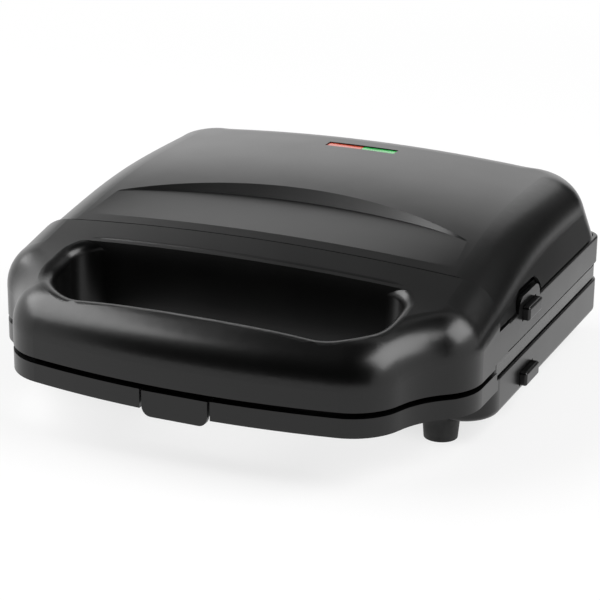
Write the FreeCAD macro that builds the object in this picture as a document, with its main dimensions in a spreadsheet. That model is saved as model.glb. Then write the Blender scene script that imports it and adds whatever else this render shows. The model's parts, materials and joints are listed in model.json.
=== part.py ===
import FreeCAD
import Part
import Sketcher
import math
import os
from FreeCAD import Placement, Rotation, Vector

# Countertop sandwich maker with a hinged lid: a shallow base on four feet, a deep lid whose front
# is a loop handle, two removable cooking plates, a release button for each plate on the right side
# and a swinging latch under the grip. Millimetres; +X right, +Y to the rear, +Z up. The origin lies
# on the worktop under the middle of the overall length.

SIZES = [
    # plan outline shared by the lid and the front lip
    ("body_width", 243.0),
    ("body_depth", 252.5),
    ("shoulder_radius", 25.0),
    ("shoulder_turn", 52.0),
    ("waist_radius", 42.7),
    ("waist_turn", 34.4),
    ("grip_radius", 28.1),
    ("front_turn", 10.9),
    ("rear_radius", 24.0),
    ("ring_radius", 9.0),
    # levels between the worktop and the lid
    ("foot_height", 11.5),
    ("trim_gap", 0.5),
    ("strip_height", 7.5),
    ("parting_gap", 0.6),
    ("ring_height", 14.8),
    ("cover_gap", 1.6),
    ("lip_drop", 4.2),
    ("lip_height", 9.2),
    ("skirt_drop", 2.0),
    # top surface of the lid: places along the depth and heights over the underside of the lid
    ("grip_depth", 22.6),
    ("slot_depth", 47.5),
    ("seam_back", 18.4),
    ("crest_back", 55.0),
    ("lamp_inset", 36.5),
    ("grip_rise", 23.5),
    ("bar_rise", 28.5),
    ("slot_rise", 37.9),
    ("seam_rise", 42.0),
    ("crest_rise", 52.0),
    ("lamp_rise", 54.7),
    ("rear_rise", 54.0),
    ("crown_front", 4.7),
    ("crown_rear", 7.8),
    ("edge_round", 20.0),
    ("cover_round", 24.0),
    ("cover_radius", 18.0),
    ("cover_top_radius", 42.0),
    ("side_lean", 12.0),
    ("rear_lean", 5.0),
    # hand slot through the handle
    ("slot_side", 37.0),
    ("slot_end", 7.5),
    ("slot_rear_radius", 12.0),
    ("slot_round", 5.5),
    # crescent step in the top cover
    ("step_width", 186.0),
    ("step_radius", 208.0),
    ("step_depth", 4.4),
    ("step_run", 6.0),
    ("step_start", 7.0),
    ("step_skim", 0.02),
    # walls and fits
    ("wall", 2.4),
    ("cover_wall", 1.6),
    ("ledge_wall", 1.6),
    ("ledge_reach", 5.0),
    ("fit_gap", 0.3),
    ("seam_gap", 0.5),
    ("pin_fit", 0.05),
    # base shell
    ("tub_front_radius", 18.0),
    ("bottom_round", 3.2),
    ("lip_web", 4.4),
    ("floor_gap", 0.6),
    # liners that carry the plates
    ("liner_wall", 2.0),
    ("strip_setback", 11.0),
    ("strip_front_radius", 4.0),
    ("strip_inset", 1.0),
    ("strip_round", 0.7),
    ("ring_round", 1.2),
    ("rim_round", 0.9),
    ("rim_front", 6.0),
    ("rim_side", 14.0),
    ("rim_rear", 16.0),
    ("plate_gap", 0.8),
    ("seat_width", 2.8),
    ("seat_gap", 0.1),
    ("boss_height", 1.1),
    ("boss_radius", 4.0),
    # cooking plates
    ("plate_thickness", 2.6),
    ("plate_drop", 0.2),
    ("plate_radius", 14.0),
    ("pocket_depth", 9.5),
    ("pocket_wall", 2.2),
    ("pocket_draft", 4.5),
    ("pocket_radius", 12.0),
    ("pocket_side", 16.0),
    ("pocket_end", 8.0),
    ("pocket_rib", 8.0),
    ("diagonal_rib", 7.0),
    ("tongue_reach", 3.2),
    ("tongue_width", 10.0),
    ("tongue_height", 1.6),
    ("tongue_inset", 37.5),
    # heating elements and reflectors
    ("heater_radius", 3.25),
    ("heater_gap", 0.65),
    ("heater_bend", 14.0),
    ("heater_inset", 10.0),
    ("heater_end", 22.0),
    ("heater_tail", 40.0),
    ("tail_back", 8.0),
    ("tail_pin", 1.5),
    ("tail_pin_length", 6.0),
    ("reflector_thickness", 0.8),
    ("reflector_margin", 2.0),
    ("clip_base", 0.95),
    ("clip_size", 8.0),
    # plate release: button, catch and the tab on the plate that the catch holds
    ("button_length", 19.2),
    ("button_height", 6.8),
    ("button_proud", 3.6),
    ("button_round", 1.2),
    ("button_place", 57.0),
    ("button_gap", 0.4),
    ("collar_reach", 2.0),
    ("collar_thickness", 1.7),
    ("stem_radius", 2.0),
    ("stem_sink", 1.0),
    ("spring_wall", 0.8),
    ("tab_length", 7.2),
    ("tab_wall", 2.4),
    ("tab_inset", 1.0),
    ("tab_width", 17.0),
    ("nub_reach", 2.4),
    ("nub_height", 2.4),
    ("nub_gap", 0.6),
    ("catch_bite", 1.4),
    ("catch_width", 9.0),
    ("nose_length", 3.2),
    ("nose_height", 2.2),
    ("post_thickness", 2.4),
    ("block_length", 6.4),
    ("block_height", 4.0),
    ("slide_gap", 0.1),
    ("hump_margin", 5.5),
    ("hump_side", 6.4),
    ("hump_gap", 3.2),
    ("hump_radius", 7.0),
    # hinge at the rear
    ("hinge_offset", 5.5),
    ("barrel_radius", 5.0),
    ("hinge_pin", 2.0),
    ("ear_width", 12.0),
    ("ear_gap", 0.4),
    ("ear_place", 48.0),
    ("ear_clear", 0.6),
    ("ear_drop", 14.0),
    ("lid_ear_rise", 14.0),
    # latch under the grip
    ("latch_width", 32.8),
    ("latch_height", 12.2),
    ("latch_wall", 2.2),
    ("latch_gap", 1.2),
    ("latch_radius", 4.5),
    ("latch_flush", 0.2),
    ("pivot_back", 10.0),
    ("pivot_rise", 5.0),
    ("pivot_pin", 1.5),
    ("pivot_barrel", 3.4),
    ("barb_reach", 2.8),
    ("barb_height", 2.0),
    ("barb_clear", 0.8),
    ("barb_gap", 0.4),
    ("web_thickness", 2.4),
    ("lug_thickness", 3.0),
    ("lug_gap", 0.6),
    ("lug_half", 4.5),
    ("latch_swing_room", 2.2),
    ("underside_thickness", 2.2),
    ("underside_inset", 0.2),
    # feet and screws
    ("foot_radius", 9.0),
    ("foot_tip_radius", 8.0),
    ("foot_side", 25.0),
    ("foot_recess_radius", 4.2),
    ("foot_recess", 7.0),
    ("tower_radius", 3.6),
    ("tower_height", 6.0),
    ("screw_radius", 1.5),
    ("screw_head", 3.0),
    ("screw_head_height", 1.2),
    ("screw_fit", 0.02),
    ("head_gap", 0.2),
    ("base_screw_spread", 140.0),
    ("base_screw_front", 56.0),
    ("base_screw_rear", 60.0),
    ("lid_screw_front", 80.0),
    ("lid_screw_rear", 33.0),
    ("lid_screw_length", 10.0),
    ("lid_boss_height", 11.0),
    ("lid_boss_half", 4.5),
    ("handle_screw_spread", 120.0),
    ("handle_boss_back", 10.0),
    ("handle_boss_radius", 3.5),
    # lamps, thermostat and wiring
    ("lens_width", 38.2),
    ("lens_depth", 6.6),
    ("lens_gap", 0.2),
    ("lens_split", 0.3),
    ("lens_recess", 0.7),
    ("lens_height", 5.0),
    ("lens_flange", 2.0),
    ("lens_flange_height", 1.5),
    ("lens_seat", 0.5),
    ("lamp_radius", 2.5),
    ("lamp_height", 5.0),
    ("lamp_air", 0.4),
    ("lamp_spread", 19.0),
    ("board_width", 50.0),
    ("board_depth", 14.0),
    ("board_thickness", 1.6),
    ("bracket_wall", 2.0),
    ("thermostat_radius", 8.0),
    ("thermostat_height", 8.0),
    ("thermostat_x", 35.0),
    ("thermostat_flange", 11.0),
    ("thermostat_flange_height", 1.2),
    ("fuse_radius", 2.2),
    ("fuse_length", 14.0),
    ("fuse_lead", 0.6),
    ("fuse_lead_length", 9.0),
    ("lead_radius", 1.2),
    ("lead_bend", 10.0),
    ("gland_x", 30.0),
    ("gland_rise", 8.5),
    ("gland_flange", 7.5),
    ("gland_flange_thickness", 2.0),
    ("gland_body", 5.4),
    ("gland_bore", 3.5),
    ("gland_boot", 4.0),
    ("gland_inside", 3.0),
    ("gland_fit", 0.1),
    ("gland_taper", 1.0),
    ("terminal_length", 20.0),
    ("terminal_depth", 8.0),
    ("terminal_height", 10.0),
    ("terminal_gap", 10.4),
    ("terminal_screw", 2.0),
    ("supply_lead_bend", 3.0),
    ("supply_lead_run", 0.3),
    ("supply_lead_gap", 0.5),
]

doc = FreeCAD.newDocument("sandwich_maker")
sheet = doc.addObject("Spreadsheet::Sheet", "dims")
for row, (alias, value) in enumerate(SIZES, 1):
    sheet.set("A%d" % row, alias)
    sheet.set("B%d" % row, str(value))
    sheet.setAlias("B%d" % row, alias)
doc.recompute()

sub_parts = []


def num(expression):
    return float(sheet.evalExpression(expression))


def keep(label, item):
    item.Label = label
    sub_parts.append(item)
    return item


def bind(item, **expressions):
    for name, expression in expressions.items():
        item.setExpression(name, expression)
    return item


def put(item, x, y, z):
    item.setExpression("Placement.Base.x", x)
    item.setExpression("Placement.Base.y", y)
    item.setExpression("Placement.Base.z", z)
    return item


def box(name, x0, x1, y0, y1, z0, z1):
    item = doc.addObject("Part::Box", name)
    bind(item, Length=f"({x1}) - ({x0})", Width=f"({y1}) - ({y0})", Height=f"({z1}) - ({z0})")
    return put(item, x0, y0, z0)


TURNS = {
    "x": Rotation(Vector(0, 1, 0), 90),
    "y": Rotation(Vector(1, 0, 0), -90),
    "z": Rotation(),
}


def rod(name, radius, length, x, y, z, along="z"):
    item = doc.addObject("Part::Cylinder", name)
    item.Placement = Placement(Vector(), TURNS[along])
    bind(item, Radius=radius, Height=length)
    return put(item, x, y, z)


def fuse(name, *items):
    item = doc.addObject("Part::MultiFuse", name)
    item.Shapes = list(items)
    return item


def cut(name, base, *tools):
    item = doc.addObject("Part::Cut", name)
    item.Base = base
    item.Tool = tools[0] if len(tools) == 1 else fuse(name + "_tools", *tools)
    return item


def both(name, first, second):
    item = doc.addObject("Part::Common", name)
    item.Base = first
    item.Tool = second
    return item


def solid(name, shape):
    item = doc.addObject("Part::Feature", name)
    item.Shape = shape
    return item


def mirror_up(name, source):
    item = doc.addObject("Part::Mirroring", name)
    item.Source = source
    item.Normal = Vector(0, 0, 1)
    item.setExpression("Base.z", MIDDLE)
    return item


def mirror_left(name, source):
    item = doc.addObject("Part::Mirroring", name)
    item.Source = source
    item.Normal = Vector(1, 0, 0)
    return item


def draw(body, name, role, points, start):
    sketch = body.newObject("Sketcher::SketchObject", name)
    plane = [f for f in body.Origin.OriginFeatures if f.Role == role][0]
    sketch.AttachmentSupport = (plane, "")
    sketch.MapMode = "FlatFace"
    sketch.setExpression("AttachmentOffset.Base.z", start)
    values = [(num(u), num(v)) for u, v in points]
    count = len(points)
    for i in range(count):
        a = values[i]
        b = values[(i + 1) % count]
        sketch.addGeometry(Part.LineSegment(Vector(a[0], a[1], 0), Vector(b[0], b[1], 0)), False)
    for i in range(count):
        sketch.addConstraint(Sketcher.Constraint("Coincident", i, 2, (i + 1) % count, 1))
    for i in range(count):
        across = sketch.addConstraint(Sketcher.Constraint("DistanceX", -1, 1, i, 1, values[i][0]))
        sketch.setExpression("Constraints[%d]" % across, points[i][0])
        along = sketch.addConstraint(Sketcher.Constraint("DistanceY", -1, 1, i, 1, values[i][1]))
        sketch.setExpression("Constraints[%d]" % along, points[i][1])
    return sketch


def prism(name, role, points, start, length):
    body = doc.addObject("PartDesign::Body", name)
    sketch = draw(body, name + "_sketch", role, points, start)
    pad = body.newObject("PartDesign::Pad", name + "_pad")
    pad.Profile = sketch
    pad.setExpression("Length", length)
    doc.recompute()
    return body


def turned(name, points):
    body = doc.addObject("PartDesign::Body", name)
    sketch = draw(body, name + "_sketch", "XZ_Plane", points, "0")
    turn = body.newObject("PartDesign::Revolution", name + "_turn")
    turn.Profile = sketch
    turn.ReferenceAxis = (sketch, ["V_Axis"])
    turn.Angle = 360.0
    doc.recompute()
    return body


def rounded(body, name, radius, wanted):
    """Fillet the edges of a body whose middle and direction meet a condition."""
    base = body.Tip
    names = []
    for i, edge in enumerate(base.Shape.Edges, 1):
        a = edge.valueAt(edge.FirstParameter)
        b = edge.valueAt(edge.LastParameter)
        if wanted((a + b) * 0.5, (b - a).normalize() if a.distanceToPoint(b) > 1e-6 else Vector()):
            names.append("Edge%d" % i)
    fillet = body.newObject("PartDesign::Fillet", name)
    fillet.Base = (base, names)
    fillet.setExpression("Radius", radius)
    doc.recompute()
    return body


def tray(name, half, front, rear, front_radius, rear_radius, low, high):
    points = [(f"-({half})", front), (half, front), (half, rear), (f"-({half})", rear)]
    body = prism(name, "XY_Plane", points, low, f"({high}) - ({low})")
    middle = num(f"(({front}) + ({rear})) / 2")
    rounded(body, name + "_front", front_radius, lambda p, d: abs(d.z) > 0.9 and p.y < middle)
    rounded(body, name + "_rear", rear_radius, lambda p, d: abs(d.z) > 0.9 and p.y > middle
            and abs(abs(p.x) - num(half)) < 1e-6)
    return body


# Places along the width and the depth
HALF = "dims.body_width / 2"
FRONT = "-(dims.body_depth + dims.hinge_offset + dims.barrel_radius) / 2"
REAR = f"({FRONT} + dims.body_depth)"
AXIS_Y = f"({REAR} + dims.hinge_offset)"
SLOT_FRONT = f"({FRONT} + dims.grip_depth)"
SLOT_REAR = f"({SLOT_FRONT} + dims.slot_depth)"
SEAM = f"({SLOT_REAR} + dims.seam_back)"
CREST = f"({SEAM} + dims.crest_back)"
LAMP_Y = f"({REAR} - dims.lamp_inset)"
TUB_FRONT = f"({SLOT_REAR} + dims.lip_web)"
STRIP_FRONT = f"({TUB_FRONT} + dims.strip_setback)"
PLATE_HALF = f"({HALF} - dims.rim_side)"
PLATE_FRONT = f"({STRIP_FRONT} + dims.rim_front)"
PLATE_REAR = f"({REAR} - dims.rim_rear)"
PLATE_MID = f"(({PLATE_FRONT} + {PLATE_REAR}) / 2)"
BUTTON_Y = f"({TUB_FRONT} + dims.button_place)"

# Levels, from the worktop up
FLOOR = "dims.foot_height"
FLOOR_TOP = f"({FLOOR} + dims.wall)"
LINER_LOW = f"({FLOOR_TOP} + dims.floor_gap)"
LINER_FLOOR = f"({LINER_LOW} + dims.liner_wall)"
REFLECTOR_LOW = f"({LINER_FLOOR} + dims.boss_height)"
REFLECTOR_TOP = f"({REFLECTOR_LOW} + dims.reflector_thickness)"
HEATER_Z = f"({REFLECTOR_TOP} + dims.clip_base + dims.heater_radius)"
POCKET_LOW = f"({HEATER_Z} + dims.heater_radius + dims.heater_gap)"
PLATE_TOP = f"({POCKET_LOW} + dims.pocket_wall + dims.pocket_depth)"
PLATE_LOW = f"({PLATE_TOP} - dims.plate_thickness)"
SEAT = f"({PLATE_LOW} - dims.seat_gap)"
PLANE = f"({PLATE_TOP} + dims.plate_drop)"
STRIP = f"({PLANE} - dims.strip_height)"
RIM = f"({STRIP} - dims.trim_gap)"
LIP = f"({PLANE} - dims.lip_drop)"
LIP_LOW = f"({LIP} - dims.lip_height)"
MIDDLE = f"({PLANE} + dims.parting_gap / 2)"
LID = f"({PLANE} + dims.parting_gap)"
SKIRT = f"({LID} - dims.skirt_drop)"
RING = f"({LID} + dims.ring_height)"
COVER = f"({RING} + dims.cover_gap)"
CEILING = f"(2 * {MIDDLE} - {LINER_LOW})"
TOP = f"({LID} + dims.lamp_rise)"
SKY = f"({TOP} + dims.edge_round)"

half_width = num(HALF)
front_edge = num(FRONT)
rear_wall = num(REAR)


# Plan outline: straight sides, an S-shaped narrowing at each shoulder and a gently bowed grip
def spot(centre, radius, heading):
    x = centre.x + radius * math.cos(heading)
    y = centre.y - radius * math.sin(heading)
    return Vector(x, y, 0)


def plan(inset, level):
    shoulder = num("dims.shoulder_radius")
    waist = num("dims.waist_radius")
    grip = num("dims.grip_radius")
    rear = num("dims.rear_radius")
    turn_out = math.radians(num("dims.shoulder_turn"))
    turn_back = turn_out - math.radians(num("dims.waist_turn"))
    turn_front = math.pi / 2 - math.radians(num("dims.front_turn"))
    shoulder_at = Vector(half_width - shoulder, 0, 0)
    waist_at = spot(shoulder_at, shoulder + waist, turn_out)
    grip_at = spot(waist_at, -(waist + grip), turn_back)
    bow = grip + grip_at.x / math.cos(turn_front)
    bow_at = spot(grip_at, grip - bow, turn_front)
    shift = Vector(0, front_edge - (bow_at.y - bow), 0)
    arcs = [
        (shoulder_at + shift, shoulder - inset, 0.0, turn_out),
        (waist_at + shift, -(waist + inset), turn_out, turn_back),
        (grip_at + shift, grip - inset, turn_back, turn_front),
    ]
    edges = []
    for side in (1, -1):
        def place(point):
            return Vector(point.x * side, point.y, level)
        corner = Vector(half_width - rear, rear_wall - rear, 0)
        reach = rear - inset
        back = corner + Vector(0, reach, 0)
        out = corner + Vector(reach, 0, 0)
        between = corner + Vector(reach, reach, 0) * math.sqrt(0.5)
        edges.append(Part.Arc(place(back), place(between), place(out)).toShape())
        first = spot(*arcs[0][:3])
        edges.append(Part.LineSegment(place(out), place(first)).toShape())
        for centre, radius, start, stop in arcs:
            a = spot(centre, radius, start)
            b = spot(centre, radius, (start + stop) / 2)
            c = spot(centre, radius, stop)
            edges.append(Part.Arc(place(a), place(b), place(c)).toShape())
    left = Vector(rear - half_width, rear_wall - inset, level)
    edges.append(Part.LineSegment(left, Vector(-left.x, left.y, level)).toShape())
    end = spot(bow_at + shift, bow - inset, turn_front)
    tip = Vector(0, front_edge + inset, level)
    edges.append(Part.Arc(Vector(end.x, end.y, level), tip, Vector(-end.x, end.y, level)).toShape())
    return Part.Wire(Part.__sortEdges__(edges))


def column(wire, height):
    return Part.Face(wire).extrude(Vector(0, 0, height))


# Height of the lid's top along the middle: a smooth curve through the named points
crest_points = [
    (num(FRONT), num(f"{LID} + dims.grip_rise")),
    (num(SLOT_FRONT), num(f"{LID} + dims.bar_rise")),
    (num(SLOT_REAR), num(f"{LID} + dims.slot_rise")),
    (num(SEAM), num(f"{LID} + dims.seam_rise")),
    (num(CREST), num(f"{LID} + dims.crest_rise")),
    (num(LAMP_Y), num(f"{LID} + dims.lamp_rise")),
    (num(REAR), num(f"{LID} + dims.rear_rise")),
]


def crest_slopes():
    slopes = []
    last = len(crest_points) - 1
    for i in range(last + 1):
        before = crest_points[max(i - 1, 0)]
        here = crest_points[i]
        after = crest_points[min(i + 1, last)]
        if i == 0 or i == last:
            slopes.append((after[1] - before[1]) / (after[0] - before[0]))
            continue
        step_in = here[0] - before[0]
        step_out = after[0] - here[0]
        slope_in = (here[1] - before[1]) / step_in
        slope_out = (after[1] - here[1]) / step_out
        slopes.append((slope_in * step_out + slope_out * step_in) / (step_in + step_out))
    return slopes


slope_list = crest_slopes()


def crest(y):
    if y <= crest_points[0][0]:
        return crest_points[0][1] + slope_list[0] * (y - crest_points[0][0])
    if y >= crest_points[-1][0]:
        return crest_points[-1][1] + slope_list[-1] * (y - crest_points[-1][0])
    i = max(k for k in range(len(crest_points) - 1) if crest_points[k][0] <= y)
    (y0, z0), (y1, z1) = crest_points[i], crest_points[i + 1]
    span = y1 - y0
    k = (y - y0) / span
    return (
        (2 * k**3 - 3 * k**2 + 1) * z0
        + (k**3 - 2 * k**2 + k) * span * slope_list[i]
        + (3 * k**2 - 2 * k**3) * z1
        + (k**3 - k**2) * span * slope_list[i + 1]
    )


def top_height(x, y):
    """Height of the crowned top: the crown is its drop at the sides of the body."""
    share = (y - front_edge) / (rear_wall - front_edge)
    drop = num("dims.crown_front") * (1 - share) + num("dims.crown_rear") * share
    return crest(y) - drop * (x / half_width) ** 2


def crowned_block(inset):
    """Everything under the crowned top, wider and longer than the lid."""
    beyond = num("dims.edge_round")
    width = half_width + beyond
    count = 14
    wires = []
    for i in range(count + 1):
        y = front_edge - beyond / 2 + (rear_wall - front_edge + beyond) * i / count
        left = Vector(-width, y, top_height(width, y) - inset)
        mid = Vector(0, y, top_height(0, y) - inset)
        right = Vector(width, y, top_height(width, y) - inset)
        low_right = Vector(width, y, 0)
        low_left = Vector(-width, y, 0)
        wires.append(Part.Wire([
            Part.Arc(left, mid, right).toShape(),
            Part.LineSegment(right, low_right).toShape(),
            Part.LineSegment(low_right, low_left).toShape(),
            Part.LineSegment(low_left, left).toShape(),
        ]))
    return Part.makeLoft(wires, True, False)


def lid_form(inset):
    """The whole outer form of the lid, set in by a wall thickness."""
    low = num(SKIRT)
    raw = column(plan(inset, low), num(SKY) - low).common(crowned_block(inset))
    upper = []
    for edge in raw.Edges:
        a = edge.valueAt(edge.FirstParameter)
        b = edge.valueAt(edge.LastParameter)
        if min(a.z, b.z) > low + 1.0:
            upper.append(edge)
    return raw.makeFillet(num("dims.edge_round") - inset, upper)


def cover_form(inset):
    """Outer form of the top cover: sides and rear that lean in under the crowned top."""
    wires = []
    stages = ((num(f"{RING} - dims.wall"), "dims.cover_radius"), (num(SKY), "dims.cover_top_radius"))
    for level, radius in stages:
        rise = level - num(RING)
        half = half_width - inset - rise * math.tan(math.radians(num("dims.side_lean")))
        rear = rear_wall - inset - rise * math.tan(math.radians(num("dims.rear_lean")))
        front = num(SLOT_FRONT)
        corners = [(half, front), (half, rear), (-half, rear), (-half, front)]
        points = [Vector(x, y, level) for x, y in corners]
        wires.append(rounded_wire(points, [num(radius) - inset] * 4))
    raw = Part.makeLoft(wires, True, True).common(crowned_block(inset))
    upper = []
    for edge in raw.Edges:
        a = edge.valueAt(edge.FirstParameter)
        b = edge.valueAt(edge.LastParameter)
        depth = max(top_height(p.x, p.y) - inset - p.z for p in (a, b))
        if depth < num("dims.cover_wall"):
            upper.append(edge)
    return raw.makeFillet(num("dims.cover_round") - inset, upper)


# Hand slot: wide rounded front corners, tighter rear ones
def slot_column(grow, low, high):
    half = num(f"{HALF} - dims.slot_side") + grow
    front = num(SLOT_FRONT) - grow
    rear = num(SLOT_REAR) + grow
    front_radius = num("dims.slot_depth - dims.slot_rear_radius - dims.slot_end") + grow
    rear_radius = num("dims.slot_rear_radius") + grow
    corners = [
        (half, front, front_radius),
        (half, rear, rear_radius),
        (-half, rear, rear_radius),
        (-half, front, front_radius),
    ]
    points = [Vector(x, y, low) for x, y, r in corners]
    return column(rounded_wire(points, [r for x, y, r in corners]), high - low)


def rounded_brim(form):
    """Open the hand slot through the lid's form and round its upper edge."""
    tool = slot_column(0.0, 0.0, num(SKY))
    opened = form.cut(tool)
    low = num(RING)
    brim = []
    for edge in opened.Edges:
        middle = edge.valueAt((edge.FirstParameter + edge.LastParameter) / 2)
        on_wall = min(face.distToShape(Part.Vertex(middle))[0] for face in tool.Faces) < 1e-3
        ends = [edge.valueAt(edge.FirstParameter), edge.valueAt(edge.LastParameter)]
        if on_wall and min(point.z for point in ends) > low:
            brim.append(edge)
    return opened.makeFillet(num("dims.slot_round"), brim)


def rounded_wire(points, radii, closed=True):
    """Lines through the points with a tangent arc of the given radius at each corner."""
    count = len(points)
    edges = []
    starts = []
    ends = []
    for i in range(count):
        here = points[i]
        if not closed and i in (0, count - 1):
            starts.append(here)
            ends.append(here)
            continue
        to_before = (points[i - 1] - here).normalize()
        to_after = (points[(i + 1) % count] - here).normalize()
        angle = to_before.getAngle(to_after)
        reach = radii[i] / math.tan(angle / 2)
        a = here + to_before * reach
        b = here + to_after * reach
        inward = (to_before + to_after).normalize()
        centre = here + inward * (radii[i] / math.sin(angle / 2))
        edges.append(Part.Arc(a, centre - inward * radii[i], b).toShape())
        starts.append(a)
        ends.append(b)
    for i in range(count if closed else count - 1):
        a = ends[i]
        b = starts[(i + 1) % count]
        if a.distanceToPoint(b) > 1e-6:
            edges.append(Part.LineSegment(a, b).toShape())
    return Part.Wire(Part.__sortEdges__(edges))


def tube(points, bend, radius):
    """Round bar along straight runs joined by tangent arcs."""
    path = rounded_wire(points, [bend] * len(points), closed=False)
    along = (points[1] - points[0]).normalize()
    section = Part.Wire([Part.Edge(Part.Circle(points[0], along, radius))])
    return path.makePipeShell([section], True, True)


# Crescent step: the front of the top cover dips, most in the middle, and meets the higher rear
# part in a short steep face that is bowed in plan and runs out towards the sides.
def step_tool(drop):
    half = num("dims.step_width / 2")
    radius = num("dims.step_radius")
    start = num(f"{SEAM} + dims.step_start")
    above = num("dims.edge_round")
    wires = []
    skim = num("dims.step_skim")
    for k in (-1.04, -0.96, -0.8, -0.5, -0.2, 0.0, 0.2, 0.5, 0.8, 0.96, 1.04):
        x = k * half
        edge = num(CREST) - (radius - math.sqrt(radius**2 - x**2))
        fade = 1 - k * k
        depth = num("dims.step_depth") * fade
        run = num("dims.step_run") * max(fade, 0.25)
        a = Vector(x, start, top_height(x, start) - drop + skim)
        b = Vector(x, edge - run, top_height(x, edge - run) - depth - drop)
        c = Vector(x, edge, top_height(x, edge) - drop + skim)
        over_c = Vector(x, edge, c.z + above)
        over_a = Vector(x, start, a.z + above)
        wires.append(Part.makePolygon([a, b, c, over_c, over_a, a]))
    return Part.makeLoft(wires, True, False)


outer_form = solid("lid_form_outer", lid_form(0.0))
brimmed_form = solid("lid_form_brimmed", rounded_brim(lid_form(0.0)))
frame_hollow = solid("lid_form_hollow", lid_form(num("dims.wall")))
cover_outer = solid("cover_form_outer", cover_form(0.0))
cover_hollow = solid("cover_form_hollow", cover_form(num("dims.cover_wall")))
ledge_out = solid("cover_form_ledge", cover_form(num("dims.cover_wall + dims.fit_gap")))
ledge_in = solid("cover_form_ledge_in", cover_form(num("dims.cover_wall + dims.fit_gap + dims.ledge_wall")))
slot_hole = solid("slot_hole", slot_column(0.0, 0.0, num(SKY)))
slot_walls = solid("slot_walls", slot_column(num("dims.wall"), 0.0, num(SKY)))
step_cut = solid("step_cut", step_tool(0.0))
step_cut_inside = solid("step_cut_inside", step_tool(num("dims.cover_wall")))

# Release buttons: heights, holes and the hump of the lid ring round the upper button
BLOCK_HALF = "dims.block_height / 2"
NUB_LOW = f"({PLATE_LOW} - dims.tab_length)"
BUTTON_LOW = f"({LINER_FLOOR} + dims.slide_gap + {BLOCK_HALF})"
BUTTON_HIGH = f"(2 * {MIDDLE} - {NUB_LOW} + dims.nub_gap + {BLOCK_HALF})"
HUMP_TOP = f"({BUTTON_HIGH} + dims.button_height / 2 + dims.hump_margin)"
HUMP_HALF = "(dims.button_length / 2 + dims.hump_side)"
BUTTON_HALF = "dims.button_length / 2"


def button_hole(name, level):
    gap = "dims.button_gap"
    return box(name, f"{HALF} - 3 * dims.wall", f"{HALF} + dims.button_proud",
               f"{BUTTON_Y} - {BUTTON_HALF} - {gap}", f"{BUTTON_Y} + {BUTTON_HALF} + {gap}",
               f"{level} - dims.button_height / 2 - {gap}", f"{level} + dims.button_height / 2 + {gap}")


def hump_block(name, grow):
    side = f"{HUMP_HALF} + {grow}"
    top = f"{HUMP_TOP} + {grow}"
    points = [
        (f"{BUTTON_Y} - ({side})", f"{RING} - dims.wall"),
        (f"{BUTTON_Y} + ({side})", f"{RING} - dims.wall"),
        (f"{BUTTON_Y} + ({side})", top),
        (f"{BUTTON_Y} - ({side})", top),
    ]
    body = prism(name, "YZ_Plane", points, f"{HALF} - dims.edge_round", "2 * dims.edge_round")
    level = num(top)
    rounded(body, name + "_round", f"dims.hump_radius + {grow}",
            lambda p, d: abs(d.x) > 0.9 and abs(p.z - level) < 1e-6)
    return body


hump = hump_block("hump", "0")
hump_space = hump_block("hump_space", "dims.hump_gap")

# Top cover: thin shell behind the seam and above the gap line
LENS_HALF = "dims.lens_width / 2"
far = f"{HALF} + dims.edge_round"
cover_zone = box("cover_zone", f"-({far})", far, f"{SEAM} + dims.seam_gap", f"{REAR} + dims.edge_round",
                 COVER, SKY)
cover_solid = cut("cover_solid", both("cover_block", cover_outer, cover_zone), step_cut)
cover_inside = cut("cover_inside", cover_hollow, step_cut_inside)
lens_hole = box("lens_hole", f"-{LENS_HALF} - dims.lens_gap", f"{LENS_HALF} + dims.lens_gap",
                f"{LAMP_Y} - dims.lens_depth / 2 - dims.lens_gap",
                f"{LAMP_Y} + dims.lens_depth / 2 + dims.lens_gap",
                f"{TOP} - 3 * dims.cover_wall", f"{TOP} + dims.cover_wall")
keep("top_cover", cut("cover_shell", cover_solid, cover_inside, hump_space, lens_hole))

# Lid frame: side ring and loop handle in one moulding, with its ledges, lugs, bosses and hinge ears
ring_zone = box("ring_zone", f"-({far})", far, SEAM, f"{REAR} + dims.edge_round", RING, SKY)
ring_low = box("ring_low", f"-({far})", far, f"{STRIP_FRONT} - 2 * dims.trim_gap",
               f"{REAR} + dims.edge_round", f"{SKIRT} - dims.wall", LID)
RING_START = f"({SEAM} + dims.ring_radius + dims.ledge_reach)"
ring_rear = box("ring_rear", f"-({far})", far, RING_START, f"{REAR} + dims.edge_round",
                f"{SKIRT} - dims.wall", SKY)
frame_block = fuse("frame_block", cut("frame_open", brimmed_form, ring_zone, ring_rear),
                   both("hump_form", outer_form, hump))
frame_inside = cut("frame_inside", frame_hollow, slot_walls)
frame_front = cut("frame_front", frame_block, frame_inside, slot_hole, ring_low)
ring_block = tray("ring_block", HALF, SEAM, REAR, "dims.ring_radius", "dims.ring_radius", LID, RING)
rounded(ring_block, "ring_block_low", "dims.ring_round", lambda p, d: abs(p.z - num(LID)) < 1e-6)
rounded(ring_block, "ring_block_high", "dims.rim_round", lambda p, d: abs(p.z - num(RING)) < 1e-6)
ring_space = tray("ring_space", f"{HALF} - dims.wall", f"{SEAM} - dims.wall", f"{REAR} - dims.wall",
                  "dims.ring_radius - dims.wall", "dims.ring_radius - dims.wall", f"{LID} - dims.wall",
                  f"{RING} + dims.wall")
ring_back = both("ring_back", cut("ring_shell", ring_block, ring_space), ring_rear)
frame_shell = fuse("frame_shell", frame_front, ring_back)

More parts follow.
